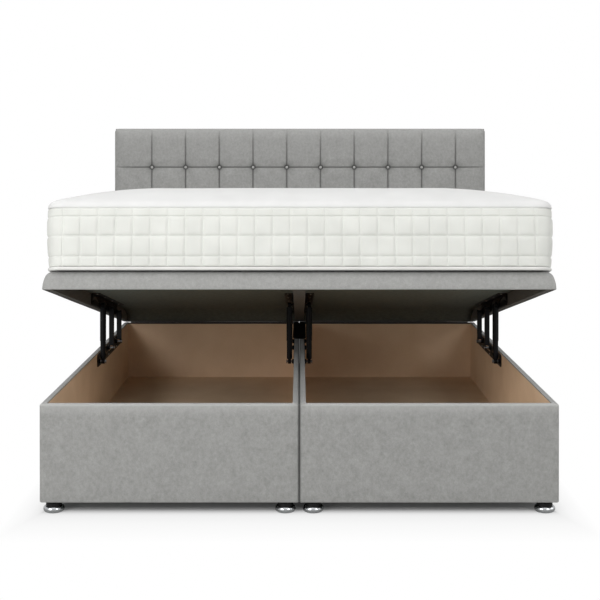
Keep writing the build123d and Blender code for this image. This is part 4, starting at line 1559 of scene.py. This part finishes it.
@dataclass
class Studio:
    """Floor, light and camera."""

    eye: tuple[float, float, float] = (0.0, -5.274, 1.277)
    lens: float = 71.28
    shift: tuple[float, float] = (0.00117, -0.2458)
    target: tuple[float, float, float] = (0.0, -0.2, 0.5)
    ambient: float = 0.25
    # Where the floor turns to pure white, in metres from its middle.
    fade: tuple[float, float] = (0.82, 1.22)
    fade_ahead: float = 0.17
    fade_steepness: float = 3.0
    fade_aside: float = 1.845
    # Shares of that way, with the share of white that the floor has there.
    fade_stops: tuple[tuple[float, float], ...] = (
        (0.085, 0.10), (0.145, 0.36), (0.204, 0.64), (0.27, 0.75), (0.5, 0.87),
    )

    def build(self) -> None:
        """Sets up the studio round the bed."""
        bpy.context.scene.view_settings.view_transform = "Standard"
        self.camera()
        self.world()
        self.floor()
        self.lamps()

    def camera(self) -> None:
        """Level camera in front of the foot, with its view shifted down."""
        data = bpy.data.cameras.new("Camera")
        data.lens = self.lens
        data.sensor_width = 36.0
        data.shift_x, data.shift_y = self.shift
        data.clip_end = 100.0
        camera = add_object("Camera", data)
        camera.location = self.eye
        camera.rotation_euler = (QUARTER, 0, 0)
        bpy.context.scene.camera = camera

    def world(self) -> None:
        """Even light from all round, and white where the camera looks past the floor."""
        world = bpy.data.worlds.new("Studio")
        tree = empty_tree(world)
        path = add_node(tree, "ShaderNodeLightPath")
        seen = calculate(tree, "MAXIMUM", (path, "Is Camera Ray"), (path, "Is Glossy Ray"))
        clear = calculate(tree, "MAXIMUM", seen, (path, "Is Transmission Ray"))
        ends = {"To Min": self.ambient, "To Max": 1.0}
        strength = add_node(tree, "ShaderNodeMapRange", ends, {"Value": clear})
        links = {"Strength": (strength, "Result")}
        light = add_node(tree, "ShaderNodeBackground", {"Color": (1, 1, 1, 1)}, links)
        add_node(tree, "ShaderNodeOutputWorld", links={"Surface": (light, "Background")})
        bpy.context.scene.world = world

    def floor(self) -> None:
        """Pale seamless floor that looks white to the camera away from shadows."""
        paint = bpy.data.materials.new("Matt white studio floor")
        tree = empty_tree(paint)
        to_camera = (add_node(tree, "ShaderNodeLightPath"), "Is Camera Ray")
        tones = {6: linear("C8C8C6"), 7: linear("BEBEBE")}
        tone = add_node(tree, "ShaderNodeMix", tones, {0: to_camera}, data_type="RGBA")
        matt = add_node(tree, "ShaderNodeBsdfDiffuse", links={"Color": (tone, 2)})
        glow = add_node(tree, "ShaderNodeEmission", {"Color": (1, 1, 1, 1), "Strength": 1.0})
        seen = calculate(tree, "MULTIPLY", self.whiteness(tree), to_camera)
        shaders = {0: seen, 1: (matt, "BSDF"), 2: (glow, "Emission")}
        blend = add_node(tree, "ShaderNodeMixShader", links=shaders)
        add_node(tree, "ShaderNodeOutputMaterial", links={"Surface": (blend, "Shader")})
        mesh = mesh_of("Floor", grid(1, 1, 30.0))
        mesh.materials.append(paint)
        add_object("Floor", mesh)

    def whiteness(self, tree: bpy.types.NodeTree) -> Output:
        """Share of pure white in the floor, which grows away from the bed."""
        place = add_node(tree, "ShaderNodeTexCoord")
        apart = add_node(tree, "ShaderNodeSeparateXYZ", links={0: (place, "Object")})
        x, y = (calculate(tree, "ABSOLUTE", (apart, axis)) for axis in "XY")
        ahead = calculate(tree, "SUBTRACT", y, self.fade_ahead)
        aside = calculate(tree, "MULTIPLY_ADD", x, self.fade_steepness, -self.fade_aside)
        away = calculate(tree, "MAXIMUM", aside, ahead)
        ends = {"From Min": self.fade[0], "From Max": self.fade[1]}
        reach = add_node(tree, "ShaderNodeMapRange", ends, {"Value": away})
        white = add_node(tree, "ShaderNodeValToRGB", links={"Fac": (reach, "Result")})
        white.color_ramp.elements[0].color = (0.025, 0.025, 0.025, 1)
        for share, level in self.fade_stops:
            white.color_ramp.elements.new(share).color = (level, level, level, 1)
        return white, "Color"

    def lamps(self) -> None:
        """Large soft boxes: three on the left, which light the most, three on the right, one above."""
        boxes = (
            ("Left low", (-3.6, -5.4, 1.7), 2.8, 64.0),
            ("Left middle", (-3.4, -5.2, 2.4), 2.4, 80.0),
            ("Left high", (-3.6, -5.0, 3.4), 2.0, 92.0),
            ("Right low", (3.4, -5.6, 1.7), 2.4, 18.0),
            ("Right high", (3.4, -5.2, 3.4), 2.0, 96.0),
            ("Right side", (5.0, -1.5, 2.0), 2.4, 40.0),
            ("Top", (0.0, -1.0, 5.5), 6.0, 150.0),
        )
        for name, place, size, power in boxes:
            data = bpy.data.lights.new(name, "AREA")
            data.shape = "SQUARE"
            data.size = size
            data.energy = power
            lamp = add_object(name, data)
            lamp.location = place
            aim = Vector(self.target) - Vector(place)
            lamp.rotation_euler = aim.to_track_quat("-Z", "Y").to_euler()


def main() -> None:
    """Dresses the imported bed."""
    logging.basicConfig(level=logging.INFO, format="%(name)s: %(message)s")
    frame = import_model()
    Studio().build()
    CarriedNodes(frame).build()
    BaseUpholstery().build()
    Lid().build()
    Mattress().build()
    Headboard().build()
    Fasteners().build()


if __name__ == "__main__":
    main()
